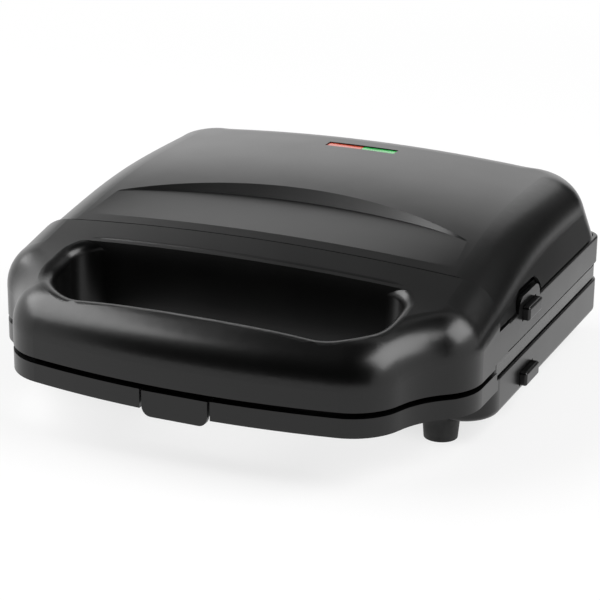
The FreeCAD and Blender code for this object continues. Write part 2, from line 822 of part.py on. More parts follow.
ledge_low = box("ledge_low", f"-({far})", far, f"{SEAM} - dims.wall", f"{REAR} + dims.edge_round",
                f"{RING} - dims.wall", f"{COVER} + dims.ledge_reach")
ledge_high = box("ledge_high", f"-({far})", far, f"{SEAM} - dims.wall", f"{SEAM} + dims.ledge_reach",
                 f"{RING} - dims.wall", SKY)
ledge = both("ledge", cut("ledge_shell", ledge_out, ledge_in), fuse("ledge_zone", ledge_low, ledge_high))
seam_slab = box("seam_slab", f"-({far})", far, f"{SEAM} - dims.wall", SEAM, f"{RING} - dims.wall", SKY)
seam_rim = cut("seam_rim", both("seam_rim_block", outer_form, seam_slab), ledge_in)
partition = both("partition", outer_form,
                 box("partition_block", f"-({HALF})", HALF, SLOT_REAR, f"{SLOT_REAR} + dims.wall", LID, SKY))

PIVOT_Y = f"({FRONT} + dims.pivot_back)"
PIVOT_Z = f"({LID} + dims.pivot_rise)"
LATCH_HALF = "dims.latch_width / 2"
LUG_IN = f"({LATCH_HALF} + dims.lug_gap)"
LUG_OUT = f"({LUG_IN} + dims.lug_thickness)"
UNDER_LOW = f"({SKIRT} + dims.underside_inset)"
UNDER_TOP = f"({UNDER_LOW} + dims.underside_thickness)"
lug_right = both("lug_right", outer_form,
                 box("lug_block", LUG_IN, LUG_OUT, f"{PIVOT_Y} - dims.lug_half", f"{PIVOT_Y} + dims.lug_half",
                     f"{UNDER_TOP} + dims.fit_gap", SKY))
lug_left = mirror_left("lug_left", lug_right)

HANDLE_SCREW_X = "dims.handle_screw_spread / 2"
HANDLE_SCREW_Y = f"({SLOT_FRONT} - dims.handle_boss_back)"
handle_boss_right = both("handle_boss_right", outer_form,
                         rod("handle_boss_rod", "dims.handle_boss_radius", f"{SKY} - {UNDER_TOP}",
                             HANDLE_SCREW_X, HANDLE_SCREW_Y, UNDER_TOP))
handle_boss_left = mirror_left("handle_boss_left", handle_boss_right)

LINER_HALF = f"({PLATE_HALF} + dims.plate_gap + dims.liner_wall)"
LID_SCREW_X = f"(({LINER_HALF} + {HALF} - dims.wall) / 2)"
LID_SCREW_FRONT = f"({SEAM} + dims.lid_screw_front)"
LID_SCREW_REAR = f"({REAR} - dims.lid_screw_rear)"
RIM_TOP = f"({LID} + dims.liner_wall)"
lid_bosses = []
for tag, place in (("front", LID_SCREW_FRONT), ("rear", LID_SCREW_REAR)):
    boss = box("lid_boss_%s" % tag, f"{LINER_HALF} + dims.fit_gap", f"{HALF} - dims.wall / 2",
               f"{place} - dims.lid_boss_half", f"{place} + dims.lid_boss_half", RIM_TOP,
               f"{RIM_TOP} + dims.lid_boss_height")
    lid_bosses += [boss, mirror_left("lid_boss_%s_left" % tag, boss)]

LID_EAR_IN = "dims.ear_place"
LID_EAR_OUT = f"({LID_EAR_IN} + dims.ear_width - dims.ear_gap)"
BASE_EAR_IN = f"({LID_EAR_IN} + dims.ear_width)"
BASE_EAR_OUT = f"({BASE_EAR_IN} + dims.ear_width)"
EAR_BACK = f"({AXIS_Y} + dims.barrel_radius)"
EAR_FACE = f"({REAR} + dims.ear_clear)"
EAR_ROOT = f"({REAR} - dims.wall / 2)"


def ear(name, points, start, stop):
    web = prism(name + "_web", "YZ_Plane", points, start, f"({stop}) - ({start})")
    barrel = rod(name + "_barrel", "dims.barrel_radius", f"({stop}) - ({start})", start, AXIS_Y, MIDDLE, "x")
    return fuse(name, web, barrel)


lid_ear = ear("lid_ear", [
    (EAR_ROOT, f"{LID} + dims.barrel_radius"),
    (EAR_ROOT, f"{LID} + dims.lid_ear_rise"),
    (EAR_FACE, f"{LID} + dims.lid_ear_rise"),
    (EAR_BACK, f"{LID} + dims.barrel_radius"),
    (EAR_BACK, MIDDLE),
    (EAR_FACE, MIDDLE),
    (EAR_FACE, f"{LID} + dims.barrel_radius"),
], LID_EAR_IN, LID_EAR_OUT)
lid_ear_left = mirror_left("lid_ear_left", lid_ear)
frame_joined = fuse("frame_joined", frame_shell, ledge, seam_rim, partition, lug_right, lug_left,
                    handle_boss_right, handle_boss_left, lid_ear, lid_ear_left, *lid_bosses)

hinge_bore = rod("hinge_bore", "dims.hinge_pin + dims.pin_fit", f"2 * {BASE_EAR_OUT} + 2 * dims.ear_width",
                 f"-({BASE_EAR_OUT} + dims.ear_width)", AXIS_Y, MIDDLE, "x")
latch_bore = rod("latch_bore", "dims.pivot_pin + dims.screw_fit", f"2 * {LUG_OUT}", f"-{LUG_OUT}",
                 PIVOT_Y, PIVOT_Z, "x")
upper_button_hole = button_hole("upper_button_hole", BUTTON_HIGH)
COLLAR_HALF = f"({BUTTON_HALF} + dims.collar_reach + dims.button_gap)"
COLLAR_ROOM = "(dims.button_height / 2 + dims.button_gap)"
collar_room = box("collar_room", f"{HALF} - 3 * dims.wall", f"{HALF} - dims.wall",
                  f"{BUTTON_Y} - {COLLAR_HALF}", f"{BUTTON_Y} + {COLLAR_HALF}",
                  f"{BUTTON_HIGH} - {COLLAR_ROOM}", f"{BUTTON_HIGH} + {COLLAR_ROOM}")
screw_bores = []
for tag, x, y, low, high in (
    ("a", LID_SCREW_X, LID_SCREW_FRONT, LID, f"{RIM_TOP} + dims.lid_screw_length"),
    ("b", LID_SCREW_X, LID_SCREW_REAR, LID, f"{RIM_TOP} + dims.lid_screw_length"),
    ("c", HANDLE_SCREW_X, HANDLE_SCREW_Y, SKIRT, f"{UNDER_TOP} + dims.lid_screw_length"),
):
    right = rod("lid_bore_" + tag, "dims.screw_radius + dims.screw_fit", f"({high}) - ({low})", x, y, low)
    screw_bores += [right, mirror_left("lid_bore_left_" + tag, right)]
keep("lid_frame", cut("frame_bored", frame_joined, hinge_bore, latch_bore, upper_button_hole, collar_room,
                      *screw_bores))

# Underside of the handle: closes the hollow loop from below, with an opening for the latch
under_plan = solid("under_plan", column(plan(num("dims.wall + dims.fit_gap"), num(UNDER_LOW)),
                                        num("dims.underside_thickness")))
under_rear = box("under_rear", f"-({far})", far, f"{SLOT_REAR} - dims.fit_gap", f"{REAR} + dims.edge_round",
                 SKIRT, SKY)
under_slot = solid("under_slot", slot_column(num("dims.wall + dims.fit_gap"), 0.0, num(SKY)))
latch_way = box("latch_way", f"-{LATCH_HALF} - dims.lug_gap", f"{LATCH_HALF} + dims.lug_gap",
                f"{PIVOT_Y} - dims.latch_wall / 2 - dims.latch_swing_room",
                f"{PIVOT_Y} + dims.latch_wall / 2 + dims.latch_swing_room", SKIRT, SKY)


def seat_for_screw(name, x, y, low, up):
    """Counterbore for a screw head with its clearance hole."""
    head = rod(name + "_head", "dims.screw_head + dims.head_gap", "dims.screw_head_height + dims.head_gap",
               x, y, low)
    hole = rod(name + "_hole", "dims.screw_radius + dims.head_gap", up, x, y, low)
    right = fuse(name, head, hole)
    return [right, mirror_left(name + "_left", right)]


handle_seats = seat_for_screw("handle_seat", HANDLE_SCREW_X, HANDLE_SCREW_Y, UNDER_LOW, "dims.edge_round")
keep("handle_underside", cut("under_plate", under_plan, under_rear, under_slot, latch_way, *handle_seats))

# Liner tub shared by both halves: walls, floor, seat for the plate and spacers for the reflector
RECESS_HALF = f"({PLATE_HALF} + dims.plate_gap)"
RECESS_FRONT = f"({PLATE_FRONT} - dims.plate_gap)"
RECESS_REAR = f"({PLATE_REAR} + dims.plate_gap)"
RECESS_RADIUS = "dims.plate_radius + dims.plate_gap"
LINER_RADIUS = f"{RECESS_RADIUS} + dims.liner_wall"
tub_block = tray("liner_block", LINER_HALF, f"{RECESS_FRONT} - dims.liner_wall",
                 f"{RECESS_REAR} + dims.liner_wall", LINER_RADIUS, LINER_RADIUS, LINER_LOW, PLANE)
plate_recess = tray("plate_recess", RECESS_HALF, RECESS_FRONT, RECESS_REAR, RECESS_RADIUS, RECESS_RADIUS,
                    SEAT, f"{PLANE} + dims.wall")
liner_space = tray("liner_space", f"{RECESS_HALF} - dims.seat_width", f"{RECESS_FRONT} + dims.seat_width",
                   f"{RECESS_REAR} - dims.seat_width", f"{RECESS_RADIUS} - dims.seat_width",
                   f"{RECESS_RADIUS} - dims.seat_width", LINER_FLOOR, f"{SEAT} + dims.liner_wall")
CATCH_HALF = "dims.tab_width / 2 + 2 * dims.plate_gap"
catch_space = box("catch_space", f"{PLATE_HALF} - dims.rim_side", RECESS_HALF, f"{BUTTON_Y} - ({CATCH_HALF})",
                  f"{BUTTON_Y} + ({CATCH_HALF})", LINER_FLOOR, f"{SEAT} + dims.liner_wall")
TONGUE_LOW = PLATE_LOW
TONGUE_TOP = f"({TONGUE_LOW} + dims.tongue_height)"
TONGUE_PLACES = (
    ("front", f"{PLATE_FRONT} + dims.tongue_inset"),
    ("rear", f"{PLATE_REAR} - dims.tongue_inset"),
)
tongue_holes = []
for tag, place in TONGUE_PLACES:
    side = "dims.tongue_width / 2 + dims.plate_gap / 2"
    tongue_holes.append(box("tongue_hole_" + tag, f"-({PLATE_HALF} + dims.tongue_reach + dims.plate_gap)",
                            f"-{PLATE_HALF}", f"{place} - ({side})", f"{place} + ({side})",
                            f"{TONGUE_LOW} - dims.seat_gap", f"{TONGUE_TOP} + dims.fit_gap"))

POCKET_OUT = f"({PLATE_HALF} - dims.pocket_side)"
POCKET_FRONT = f"({PLATE_FRONT} + dims.pocket_end)"
POCKET_REAR = f"({PLATE_REAR} - dims.pocket_end)"
HEATER_X = f"({POCKET_OUT} - dims.heater_inset)"
HEATER_FRONT = f"({POCKET_FRONT} + dims.heater_end)"
HEATER_REAR = f"({POCKET_REAR} - dims.heater_end)"
BOSS_X = f"({HEATER_X} - dims.heater_end)"
spacers = []
for tag, x, y in (("a", BOSS_X, HEATER_FRONT), ("b", BOSS_X, HEATER_REAR)):
    spacer = rod("spacer_" + tag, "dims.boss_radius", f"{REFLECTOR_LOW} - {LINER_FLOOR}", x, y, LINER_FLOOR)
    spacers += [spacer, mirror_left("spacer_left_" + tag, spacer)]
tub_open = cut("liner_open", tub_block, plate_recess, liner_space, catch_space, *tongue_holes)
tub_core = fuse("liner_core", tub_open, *spacers)


def stem_hole(name, level):
    return rod(name, "dims.stem_radius + dims.button_gap", "dims.rim_side + dims.wall",
               f"{RECESS_HALF} - dims.seat_width - dims.wall / 2", BUTTON_Y, level, "x")


# Base liner: the tub with the flange that shows as a strip between the two halves
STRIP_HALF = f"({HALF} - dims.strip_inset)"
STRIP_REAR = f"({REAR} - dims.strip_inset)"
STRIP_RADIUS = "dims.ring_radius - dims.strip_inset"
flange = tray("flange", STRIP_HALF, STRIP_FRONT, STRIP_REAR, "dims.strip_front_radius", STRIP_RADIUS, STRIP,
              PLANE)
rounded(flange, "flange_round", "dims.strip_round", lambda p, d: abs(d.z) < 0.1)
flange_inside = tray("flange_inside", f"{STRIP_HALF} - dims.liner_wall", f"{STRIP_FRONT} + dims.liner_wall",
                     f"{STRIP_REAR} - dims.liner_wall", "dims.strip_front_radius - dims.liner_wall",
                     f"{STRIP_RADIUS} - dims.liner_wall", f"{STRIP} - dims.trim_gap",
                     f"{PLANE} - dims.liner_wall")
flange_hollow = cut("flange_hollow", flange_inside, tub_block)
flange_mouth = tray("flange_mouth", f"{LINER_HALF} - dims.liner_wall / 2",
                    f"{RECESS_FRONT} - dims.liner_wall / 2", f"{RECESS_REAR} + dims.liner_wall / 2",
                    f"{RECESS_RADIUS} + dims.liner_wall / 2", f"{RECESS_RADIUS} + dims.liner_wall / 2",
                    f"{STRIP} - dims.trim_gap", f"{PLANE} + dims.wall")
flange_ring = cut("flange_ring", flange, flange_hollow, flange_mouth)
BASE_SCREW_X = "dims.base_screw_spread / 2"
BASE_SCREW_FRONT = f"({TUB_FRONT} + dims.base_screw_front)"
BASE_SCREW_REAR = f"({REAR} - dims.base_screw_rear)"
base_bores = []
for tag, y in (("a", BASE_SCREW_FRONT), ("b", BASE_SCREW_REAR)):
    bore = rod("base_bore_" + tag, "dims.screw_radius + dims.screw_fit", f"{REFLECTOR_LOW} - {LINER_LOW}",
               BASE_SCREW_X, y, LINER_LOW)
    base_bores += [bore, mirror_left("base_bore_left_" + tag, bore)]
keep("base_liner", cut("base_liner_bored", fuse("base_liner_joined", flange_ring, tub_core),
                       stem_hole("lower_stem_hole", BUTTON_LOW), *base_bores, *tongue_holes))

# Lid liner: the same tub upside down with a flat rim inside the lid ring
lid_rim = tray("lid_rim", f"{HALF} - dims.wall - dims.fit_gap", f"{SLOT_REAR} + dims.wall + dims.fit_gap",
               f"{REAR} - dims.wall - dims.fit_gap", "dims.tub_front_radius",
               "dims.ring_radius - dims.wall - dims.fit_gap", LID, RIM_TOP)
rim_mouth = tray("rim_mouth", f"{LINER_HALF} - dims.liner_wall / 2", f"{RECESS_FRONT} - dims.liner_wall / 2",
                 f"{RECESS_REAR} + dims.liner_wall / 2", f"{RECESS_RADIUS} + dims.liner_wall / 2",
                 f"{RECESS_RADIUS} + dims.liner_wall / 2", f"{LID} - dims.wall", f"{RIM_TOP} + dims.wall")
rim_ring = cut("rim_ring", lid_rim, rim_mouth)
lid_tub = mirror_up("lid_tub", tub_core)
lid_seats = (seat_for_screw("lid_seat_front", LID_SCREW_X, LID_SCREW_FRONT, LID, "dims.edge_round")
             + seat_for_screw("lid_seat_rear", LID_SCREW_X, LID_SCREW_REAR, LID, "dims.edge_round"))
lid_tongues = [mirror_up("lid_" + hole.Name, hole) for hole in tongue_holes]
keep("lid_liner", cut("lid_liner_bored", fuse("lid_liner_joined", rim_ring, lid_tub),
                      stem_hole("upper_stem_hole", BUTTON_HIGH), *lid_seats, *lid_tongues))


# Cooking plates: a rimmed casting with two sandwich beds, and a diagonal ridge in each bed that
# splits it into two triangles
def shrink(points, distances):
    """Move each side of a polygon inward by its own distance."""
    count = len(points)
    middle = Vector()
    for point in points:
        middle = middle + point
    middle = middle * (1.0 / count)
    lines = []
    for i in range(count):
        a = points[i]
        along = (points[(i + 1) % count] - a).normalize()
        inward = Vector(-along.y, along.x, 0)
        if inward.dot(middle - a) < 0:
            inward = inward * -1
        lines.append((a + inward * distances[i], along))
    moved = []
    for i in range(count):
        p, d = lines[i - 1]
        q, e = lines[i]
        k = ((q.x - p.x) * e.y - (q.y - p.y) * e.x) / (d.x * e.y - d.y * e.x)
        moved.append(p + d * k)
    return moved


def bed(corners, grow, top, low):
    """Tapered bed; grown by the wall it is the outside of the casting below the rim."""
    draft = num("dims.pocket_draft")
    radius = num("dims.pocket_radius")
    wires = []
    stages = ((top, -grow, radius + grow), (low, draft - grow, radius - draft + grow))
    for level, inward, corner in stages:
        points = [Vector(p.x, p.y, level) for p in shrink(corners, [inward] * 4)]
        wires.append(rounded_wire(points, [corner] * 4))
    return Part.makeLoft(wires, True, True)


def bed_corners(side):
    inner = side * num("dims.pocket_rib / 2")
    outer = side * num(POCKET_OUT)
    front = num(POCKET_FRONT)
    rear = num(POCKET_REAR)
    return [Vector(inner, front, 0), Vector(outer, front, 0), Vector(outer, rear, 0), Vector(inner, rear, 0)]


def plate_casting():
    low = num(PLATE_LOW)
    top = num(PLATE_TOP)
    floor = top - num("dims.pocket_depth")
    wall = num("dims.pocket_wall")
    half = num(PLATE_HALF)
    corner = num("dims.plate_radius")
    rim_points = [
        Vector(half, num(PLATE_FRONT), low),
        Vector(half, num(PLATE_REAR), low),
        Vector(-half, num(PLATE_REAR), low),
        Vector(-half, num(PLATE_FRONT), low),
    ]
    casting = column(rounded_wire(rim_points, [corner] * 4), top - low)
    for side in (1, -1):
        casting = casting.fuse(bed(bed_corners(side), wall, (top + low) / 2, floor - wall))
    for side in (1, -1):
        casting = casting.cut(bed(bed_corners(side), 0.0, top, floor))
    return casting.removeSplitter()


def diagonal_ridge():
    """Ridge across the right bed: narrow at the top, wider by the draft on each side at the floor."""
    top = num(PLATE_TOP)
    floor = top - num("dims.pocket_depth")
    corners = bed_corners(1)
    along = (corners[2] - corners[0]).normalize()
    across = Vector(-along.y, along.x, 0)
    narrow = num("dims.diagonal_rib / 2")
    wires = []
    for level, reach in ((top, narrow), (floor, narrow + num("dims.pocket_draft"))):
        lift = Vector(0, 0, level)
        start = corners[0] + lift
        stop = corners[2] + lift
        loop = [start - across * reach, stop - across * reach, stop + across * reach, start + across * reach]
        wires.append(Part.makePolygon(loop + loop[:1]))
    bar = Part.makeLoft(wires, True, True)
    return bar.common(bed(corners, 0.0, top, floor))


TAB_OUT = f"({PLATE_HALF} - dims.tab_inset)"
TAB_IN = f"({TAB_OUT} - dims.tab_wall)"
NUB_IN = f"({TAB_IN} - dims.nub_reach)"
casting = solid("plate_casting", plate_casting())
TAB_FRONT = f"{BUTTON_Y} - dims.tab_width / 2"
TAB_REAR = f"{BUTTON_Y} + dims.tab_width / 2"
tab = box("plate_tab", TAB_IN, TAB_OUT, TAB_FRONT, TAB_REAR, NUB_LOW,
          f"{PLATE_LOW} + dims.plate_thickness / 2")
nub = box("plate_nub", NUB_IN, TAB_IN, TAB_FRONT, TAB_REAR, NUB_LOW, f"{NUB_LOW} + dims.nub_height")
tongues = []
for tag, place in TONGUE_PLACES:
    tongues.append(box("tongue_" + tag, f"-({PLATE_HALF} + dims.tongue_reach)",
                       f"-{PLATE_HALF} + dims.plate_gap", f"{place} - dims.tongue_width / 2",
                       f"{place} + dims.tongue_width / 2", TONGUE_LOW, TONGUE_TOP))
lower_plate = keep("lower_plate", fuse("lower_plate_joined", casting, tab, nub, *tongues))
keep("upper_plate", mirror_up("upper_plate_mirror", lower_plate))
ridge_right = solid("plate_ridge", diagonal_ridge())
ridge_left = mirror_left("plate_ridge_left", ridge_right)
lower_ridges = keep("lower_plate_ridges", fuse("lower_ridge_pair", ridge_right, ridge_left))
keep("upper_plate_ridges", mirror_up("upper_ridge_pair", lower_ridges))

# Heating elements: a bent rod under each plate with two connection pins at the rear
TAIL_X = "dims.heater_tail / 2"
TAIL_REAR = f"({PLATE_REAR} - dims.tail_back)"


def heater_path():
    x = num(HEATER_X)
    front = num(HEATER_FRONT)
    rear = num(HEATER_REAR)
    tail = num(TAIL_X)
    back = num(TAIL_REAR)
    z = num(HEATER_Z)
    right = [Vector(tail, back, z), Vector(tail, rear, z), Vector(x, rear, z), Vector(x, front, z)]
    return right + [Vector(-p.x, p.y, z) for p in reversed(right)]


heater_rod = solid("heater_rod", tube(heater_path(), num("dims.heater_bend"), num("dims.heater_radius")))
pin_right = rod("heater_pin", "dims.tail_pin", "2 * dims.tail_pin_length", TAIL_X,
                f"{TAIL_REAR} - dims.tail_pin_length", HEATER_Z, "y")
lower_heater = keep("lower_heater", fuse("lower_heater_joined", heater_rod, pin_right,
                                         mirror_left("heater_pin_left", pin_right)))
keep("upper_heater", mirror_up("upper_heater_mirror", lower_heater))

# Reflector sheets on the liner's spacers
lower_reflector = keep("lower_reflector", tray(
    "reflector", f"{POCKET_OUT} - dims.reflector_margin", f"{POCKET_FRONT} + dims.reflector_margin",
    f"{POCKET_REAR} - dims.reflector_margin", "dims.pocket_radius", "dims.pocket_radius", REFLECTOR_LOW,
    REFLECTOR_TOP))
keep("upper_reflector", mirror_up("upper_reflector_mirror", lower_reflector))

# Saddles that carry the heating element on the reflector
saddle_groove = solid("saddle_groove", tube(heater_path(), num("dims.heater_bend"),
                                            num("dims.heater_radius + dims.pin_fit")))
saddles = []
for tag, x, y in (("side", HEATER_X, PLATE_MID), ("front", BOSS_X, HEATER_FRONT)):
    saddle = box("saddle_" + tag, f"{x} - dims.clip_size / 2", f"{x} + dims.clip_size / 2",
                 f"{y} - dims.clip_size / 2", f"{y} + dims.clip_size / 2", REFLECTOR_TOP, HEATER_Z)
    saddles += [saddle, mirror_left("saddle_left_" + tag, saddle)]
saddle_blocks = fuse("saddle_blocks", *saddles)
lower_saddles = keep("lower_heater_saddles", cut("saddles_cut", saddle_blocks, saddle_groove))
keep("upper_heater_saddles", mirror_up("upper_saddles_mirror", lower_saddles))

# Release buttons with their stems, catches and return springs
SHELL_IN = f"({HALF} - dims.wall)"
COLLAR_OUT = f"({SHELL_IN} - dims.fit_gap)"
COLLAR_IN = f"({COLLAR_OUT} - dims.collar_thickness)"
BUTTON_FACE = f"({HALF} + dims.button_proud)"
NOSE_TIP = f"({NUB_IN} + dims.catch_bite)"
POST_OUT = f"({NOSE_TIP} - dims.nose_length)"
POST_IN = f"({POST_OUT} - dims.post_thickness)"
BLOCK_OUT = f"({POST_IN} + dims.block_length)"


def button(name, level):
    half_height = "dims.button_height / 2"
    points = [
        (f"{BUTTON_Y} - {BUTTON_HALF}", f"{level} - {half_height}"),
        (f"{BUTTON_Y} + {BUTTON_HALF}", f"{level} - {half_height}"),
        (f"{BUTTON_Y} + {BUTTON_HALF}", f"{level} + {half_height}"),
        (f"{BUTTON_Y} - {BUTTON_HALF}", f"{level} + {half_height}"),
    ]
    head = prism(name + "_head", "YZ_Plane", points, COLLAR_IN, f"{BUTTON_FACE} - {COLLAR_IN}")
    face = num(BUTTON_FACE)
    rounded(head, name + "_round", "dims.button_round",
            lambda p, d: abs(p.x - face) < 1e-6 or abs(d.x) > 0.9)
    collar = box(name + "_collar", COLLAR_IN, COLLAR_OUT, f"{BUTTON_Y} - {BUTTON_HALF} - dims.collar_reach",
                 f"{BUTTON_Y} + {BUTTON_HALF} + dims.collar_reach",
                 f"{level} - {half_height} + dims.button_round",
                 f"{level} + {half_height} - dims.button_round")
    stem = rod(name + "_stem", "dims.stem_radius", f"{COLLAR_OUT} - {POST_IN} - dims.stem_sink",
               f"{POST_IN} + dims.stem_sink", BUTTON_Y, level, "x")
    return fuse(name, head, collar, stem)


def catch(name, level, nose_low, nose_high):
    half = "dims.catch_width / 2"
    y0 = f"{BUTTON_Y} - {half}"
    y1 = f"{BUTTON_Y} + {half}"
    block = box(name + "_block", POST_IN, BLOCK_OUT, y0, y1, f"{level} - {BLOCK_HALF}",
                f"{level} + {BLOCK_HALF}")
    low = f"{level} - {BLOCK_HALF}" if num(level) < num(nose_low) else nose_low
    high = nose_high if num(level) < num(nose_low) else f"{level} + {BLOCK_HALF}"
    post = box(name + "_post", POST_IN, POST_OUT, y0, y1, low, high)
    nose = box(name + "_nose", POST_OUT, NOSE_TIP, y0, y1, nose_low, nose_high)
    bore = rod(name + "_bore", "dims.stem_radius + dims.screw_fit", "dims.rim_side",
               f"{POST_IN} + dims.stem_sink", BUTTON_Y, level, "x")
    return cut(name, fuse(name + "_joined", block, post, nose), bore)


def spring(name, level):
    outer = rod(name + "_outer", "dims.stem_radius + dims.button_gap + dims.spring_wall",
                f"{COLLAR_IN} - {LINER_HALF}", LINER_HALF, BUTTON_Y, level, "x")
    inner = rod(name + "_inner", "dims.stem_radius + dims.button_gap", f"{COLLAR_IN} - {LINER_HALF}",
                LINER_HALF, BUTTON_Y, level, "x")
    return cut(name, outer, inner)


NOSE_LOW = f"({NUB_LOW} + dims.nub_height + dims.nub_gap)"
NOSE_TOP = f"({NOSE_LOW} + dims.nose_height)"
keep("lower_release_button", button("lower_button", BUTTON_LOW))
keep("lower_plate_catch", catch("lower_catch", BUTTON_LOW, NOSE_LOW, NOSE_TOP))
keep("lower_button_spring", spring("lower_spring", BUTTON_LOW))
keep("upper_release_button", button("upper_button", BUTTON_HIGH))
keep("upper_plate_catch", catch("upper_catch", BUTTON_HIGH, f"2 * {MIDDLE} - {NOSE_TOP}",
                                f"2 * {MIDDLE} - {NOSE_LOW}"))
keep("upper_button_spring", spring("upper_spring", BUTTON_HIGH))

# Base shell: shallow tub with a hollow front lip that mirrors the grip
tub_outer = tray("tub_outer", HALF, TUB_FRONT, REAR, "dims.tub_front_radius", "dims.ring_radius", FLOOR, RIM)
rounded(tub_outer, "tub_outer_bottom", "dims.bottom_round", lambda p, d: abs(p.z - num(FLOOR)) < 1e-6)
rounded(tub_outer, "tub_outer_rim", "dims.rim_round", lambda p, d: abs(p.z - num(RIM)) < 1e-6)
tub_inner = tray("tub_inner", f"{HALF} - dims.wall", f"{TUB_FRONT} + dims.wall", f"{REAR} - dims.wall",
                 "dims.tub_front_radius - dims.wall", "dims.ring_radius - dims.wall", FLOOR_TOP,
                 f"{LIP} - dims.wall")
rounded(tub_inner, "tub_inner_bottom", "dims.bottom_round - dims.wall",
        lambda p, d: abs(p.z - num(FLOOR_TOP)) < 1e-6)
lip_plan = solid("lip_plan", column(plan(0.0, num(LIP_LOW)), num("dims.lip_height")))
lip_back = box("lip_back", f"-({far})", far, f"{STRIP_FRONT} + dims.strip_front_radius",
               f"{REAR} + dims.edge_round", FLOOR, SKY)
strip_room = tray("strip_room", f"{HALF} + dims.trim_gap", f"{STRIP_FRONT} - dims.trim_gap",
                  f"{REAR} + dims.trim_gap", "dims.strip_front_radius + dims.trim_gap",
                  "dims.ring_radius + dims.trim_gap", RIM, SKY)
lip_block = cut("lip_block", lip_plan, lip_back, strip_room)
lip_room = num(f"{LIP} - dims.wall - {FLOOR}")
lip_inside = solid("lip_inside", column(plan(num("dims.wall"), num(FLOOR)), lip_room))
lip_inside_rear = box("lip_inside_rear", f"-({far})", far, TUB_FRONT, f"{REAR} + dims.edge_round", "0", SKY)
NOTCH_HALF = f"({LATCH_HALF} + dims.latch_gap)"
CATCH_EDGE = f"({PIVOT_Y} + dims.latch_wall / 2 + dims.barb_reach + dims.barb_gap)"
notch_cheek = box("notch_cheek", NOTCH_HALF, f"{NOTCH_HALF} + dims.wall", f"{FRONT} - dims.wall",
                  f"{SLOT_FRONT} - dims.wall / 2", FLOOR, SKY)
notch_cheeks = fuse("notch_cheeks", notch_cheek, mirror_left("notch_cheek_left", notch_cheek))
lip_hollow = cut("lip_hollow", lip_inside, lip_inside_rear, slot_walls, notch_cheeks)
notch = box("latch_notch", f"-{NOTCH_HALF}", NOTCH_HALF, f"{FRONT} - dims.wall", CATCH_EDGE, FLOOR, SKY)

FOOT_X = f"({HALF} - dims.foot_side)"
FOOT_FRONT = f"({TUB_FRONT} + dims.foot_radius)"
FOOT_REAR = f"({REAR} - dims.foot_radius)"
foot_mounts = []
foot_bores = []
for tag, y in (("front", FOOT_FRONT), ("rear", FOOT_REAR)):
    pad = rod("foot_pad_" + tag, "dims.foot_radius", f"{FLOOR_TOP} - {FLOOR}", FOOT_X, y, FLOOR)
    tower = rod("foot_tower_" + tag, "dims.tower_radius", "dims.wall + dims.tower_height", FOOT_X, y, FLOOR)
    bore = rod("foot_bore_" + tag, "dims.screw_radius + dims.screw_fit", "dims.wall + dims.tower_height",
               FOOT_X, y, f"{FLOOR} - dims.wall")
    for item, group in ((pad, foot_mounts), (tower, foot_mounts), (bore, foot_bores)):
        group += [item, mirror_left(item.Name + "_left", item)]

GLAND_Z = f"({FLOOR} + dims.gland_rise)"
gland_hole = rod("gland_hole", "dims.gland_body + dims.gland_fit", "4 * dims.wall", "dims.gland_x",
                 f"{REAR} - 3 * dims.wall", GLAND_Z, "y")
base_ear = ear("base_ear", [
    (EAR_ROOT, f"{RIM} - dims.ear_drop"),
    (EAR_ROOT, RIM),
    (EAR_FACE, RIM),
    (EAR_FACE, MIDDLE),
    (EAR_BACK, MIDDLE),
    (EAR_BACK, f"{RIM} - dims.ear_drop / 4"),
], BASE_EAR_IN, BASE_EAR_OUT)
base_seats = (seat_for_screw("base_seat_front", BASE_SCREW_X, BASE_SCREW_FRONT, FLOOR, "2 * dims.wall")
              + seat_for_screw("base_seat_rear", BASE_SCREW_X, BASE_SCREW_REAR, FLOOR, "2 * dims.wall"))
shell_joined = fuse("shell_joined", tub_outer, lip_block)
shell_raw = cut("shell_raw", shell_joined, tub_inner, lip_hollow, slot_hole, notch)
shell_full = fuse("shell_full", shell_raw, base_ear, mirror_left("base_ear_left", base_ear), *foot_mounts)
keep("base_shell", cut("shell_bored", shell_full, button_hole("lower_button_hole", BUTTON_LOW), gland_hole,
                       hinge_bore, *foot_bores, *base_seats))

# Hinge pins through the ears of both halves
pin_hinge = rod("hinge_pin_rod", "dims.hinge_pin", f"{BASE_EAR_OUT} - {LID_EAR_IN}", LID_EAR_IN, AXIS_Y,
                MIDDLE, "x")
keep("hinge_pin_right", pin_hinge)
keep("hinge_pin_left", mirror_left("hinge_pin_mirror", pin_hinge))

# Latch: barrel on its pin, blade through the underside, barb behind and a front plate with a finger edge
LATCH_FACE = f"({FRONT} + dims.latch_flush)"
LATCH_BACK = f"({LATCH_FACE} + dims.latch_wall)"
BLADE_FRONT = f"({PIVOT_Y} - dims.latch_wall / 2)"
BLADE_BACK = f"({PIVOT_Y} + dims.latch_wall / 2)"
BARB_TIP = f"({BLADE_BACK} + dims.barb_reach)"
BARB_TOP = f"({LIP} - dims.wall - dims.barb_clear)"
BARB_LOW = f"({BARB_TOP} - dims.barb_height)"
WEB_TOP = f"({LIP} - dims.fit_gap)"
WEB_LOW = f"({WEB_TOP} - dims.web_thickness)"
LATCH_LOW = f"({WEB_TOP} - dims.latch_height)"
latch_points = [
    (BLADE_BACK, PIVOT_Z),
    (BLADE_BACK, BARB_TOP),
    (BARB_TIP, BARB_TOP),
    (BARB_TIP, f"{BARB_TOP} - dims.barb_height / 2"),
    (BLADE_BACK, BARB_LOW),
    (BLADE_FRONT, BARB_LOW),
    (BLADE_FRONT, WEB_LOW),
    (LATCH_BACK, WEB_LOW),
    (LATCH_BACK, LATCH_LOW),
    (LATCH_FACE, LATCH_LOW),
    (LATCH_FACE, WEB_TOP),
    (BLADE_FRONT, WEB_TOP),
    (BLADE_FRONT, PIVOT_Z),
]
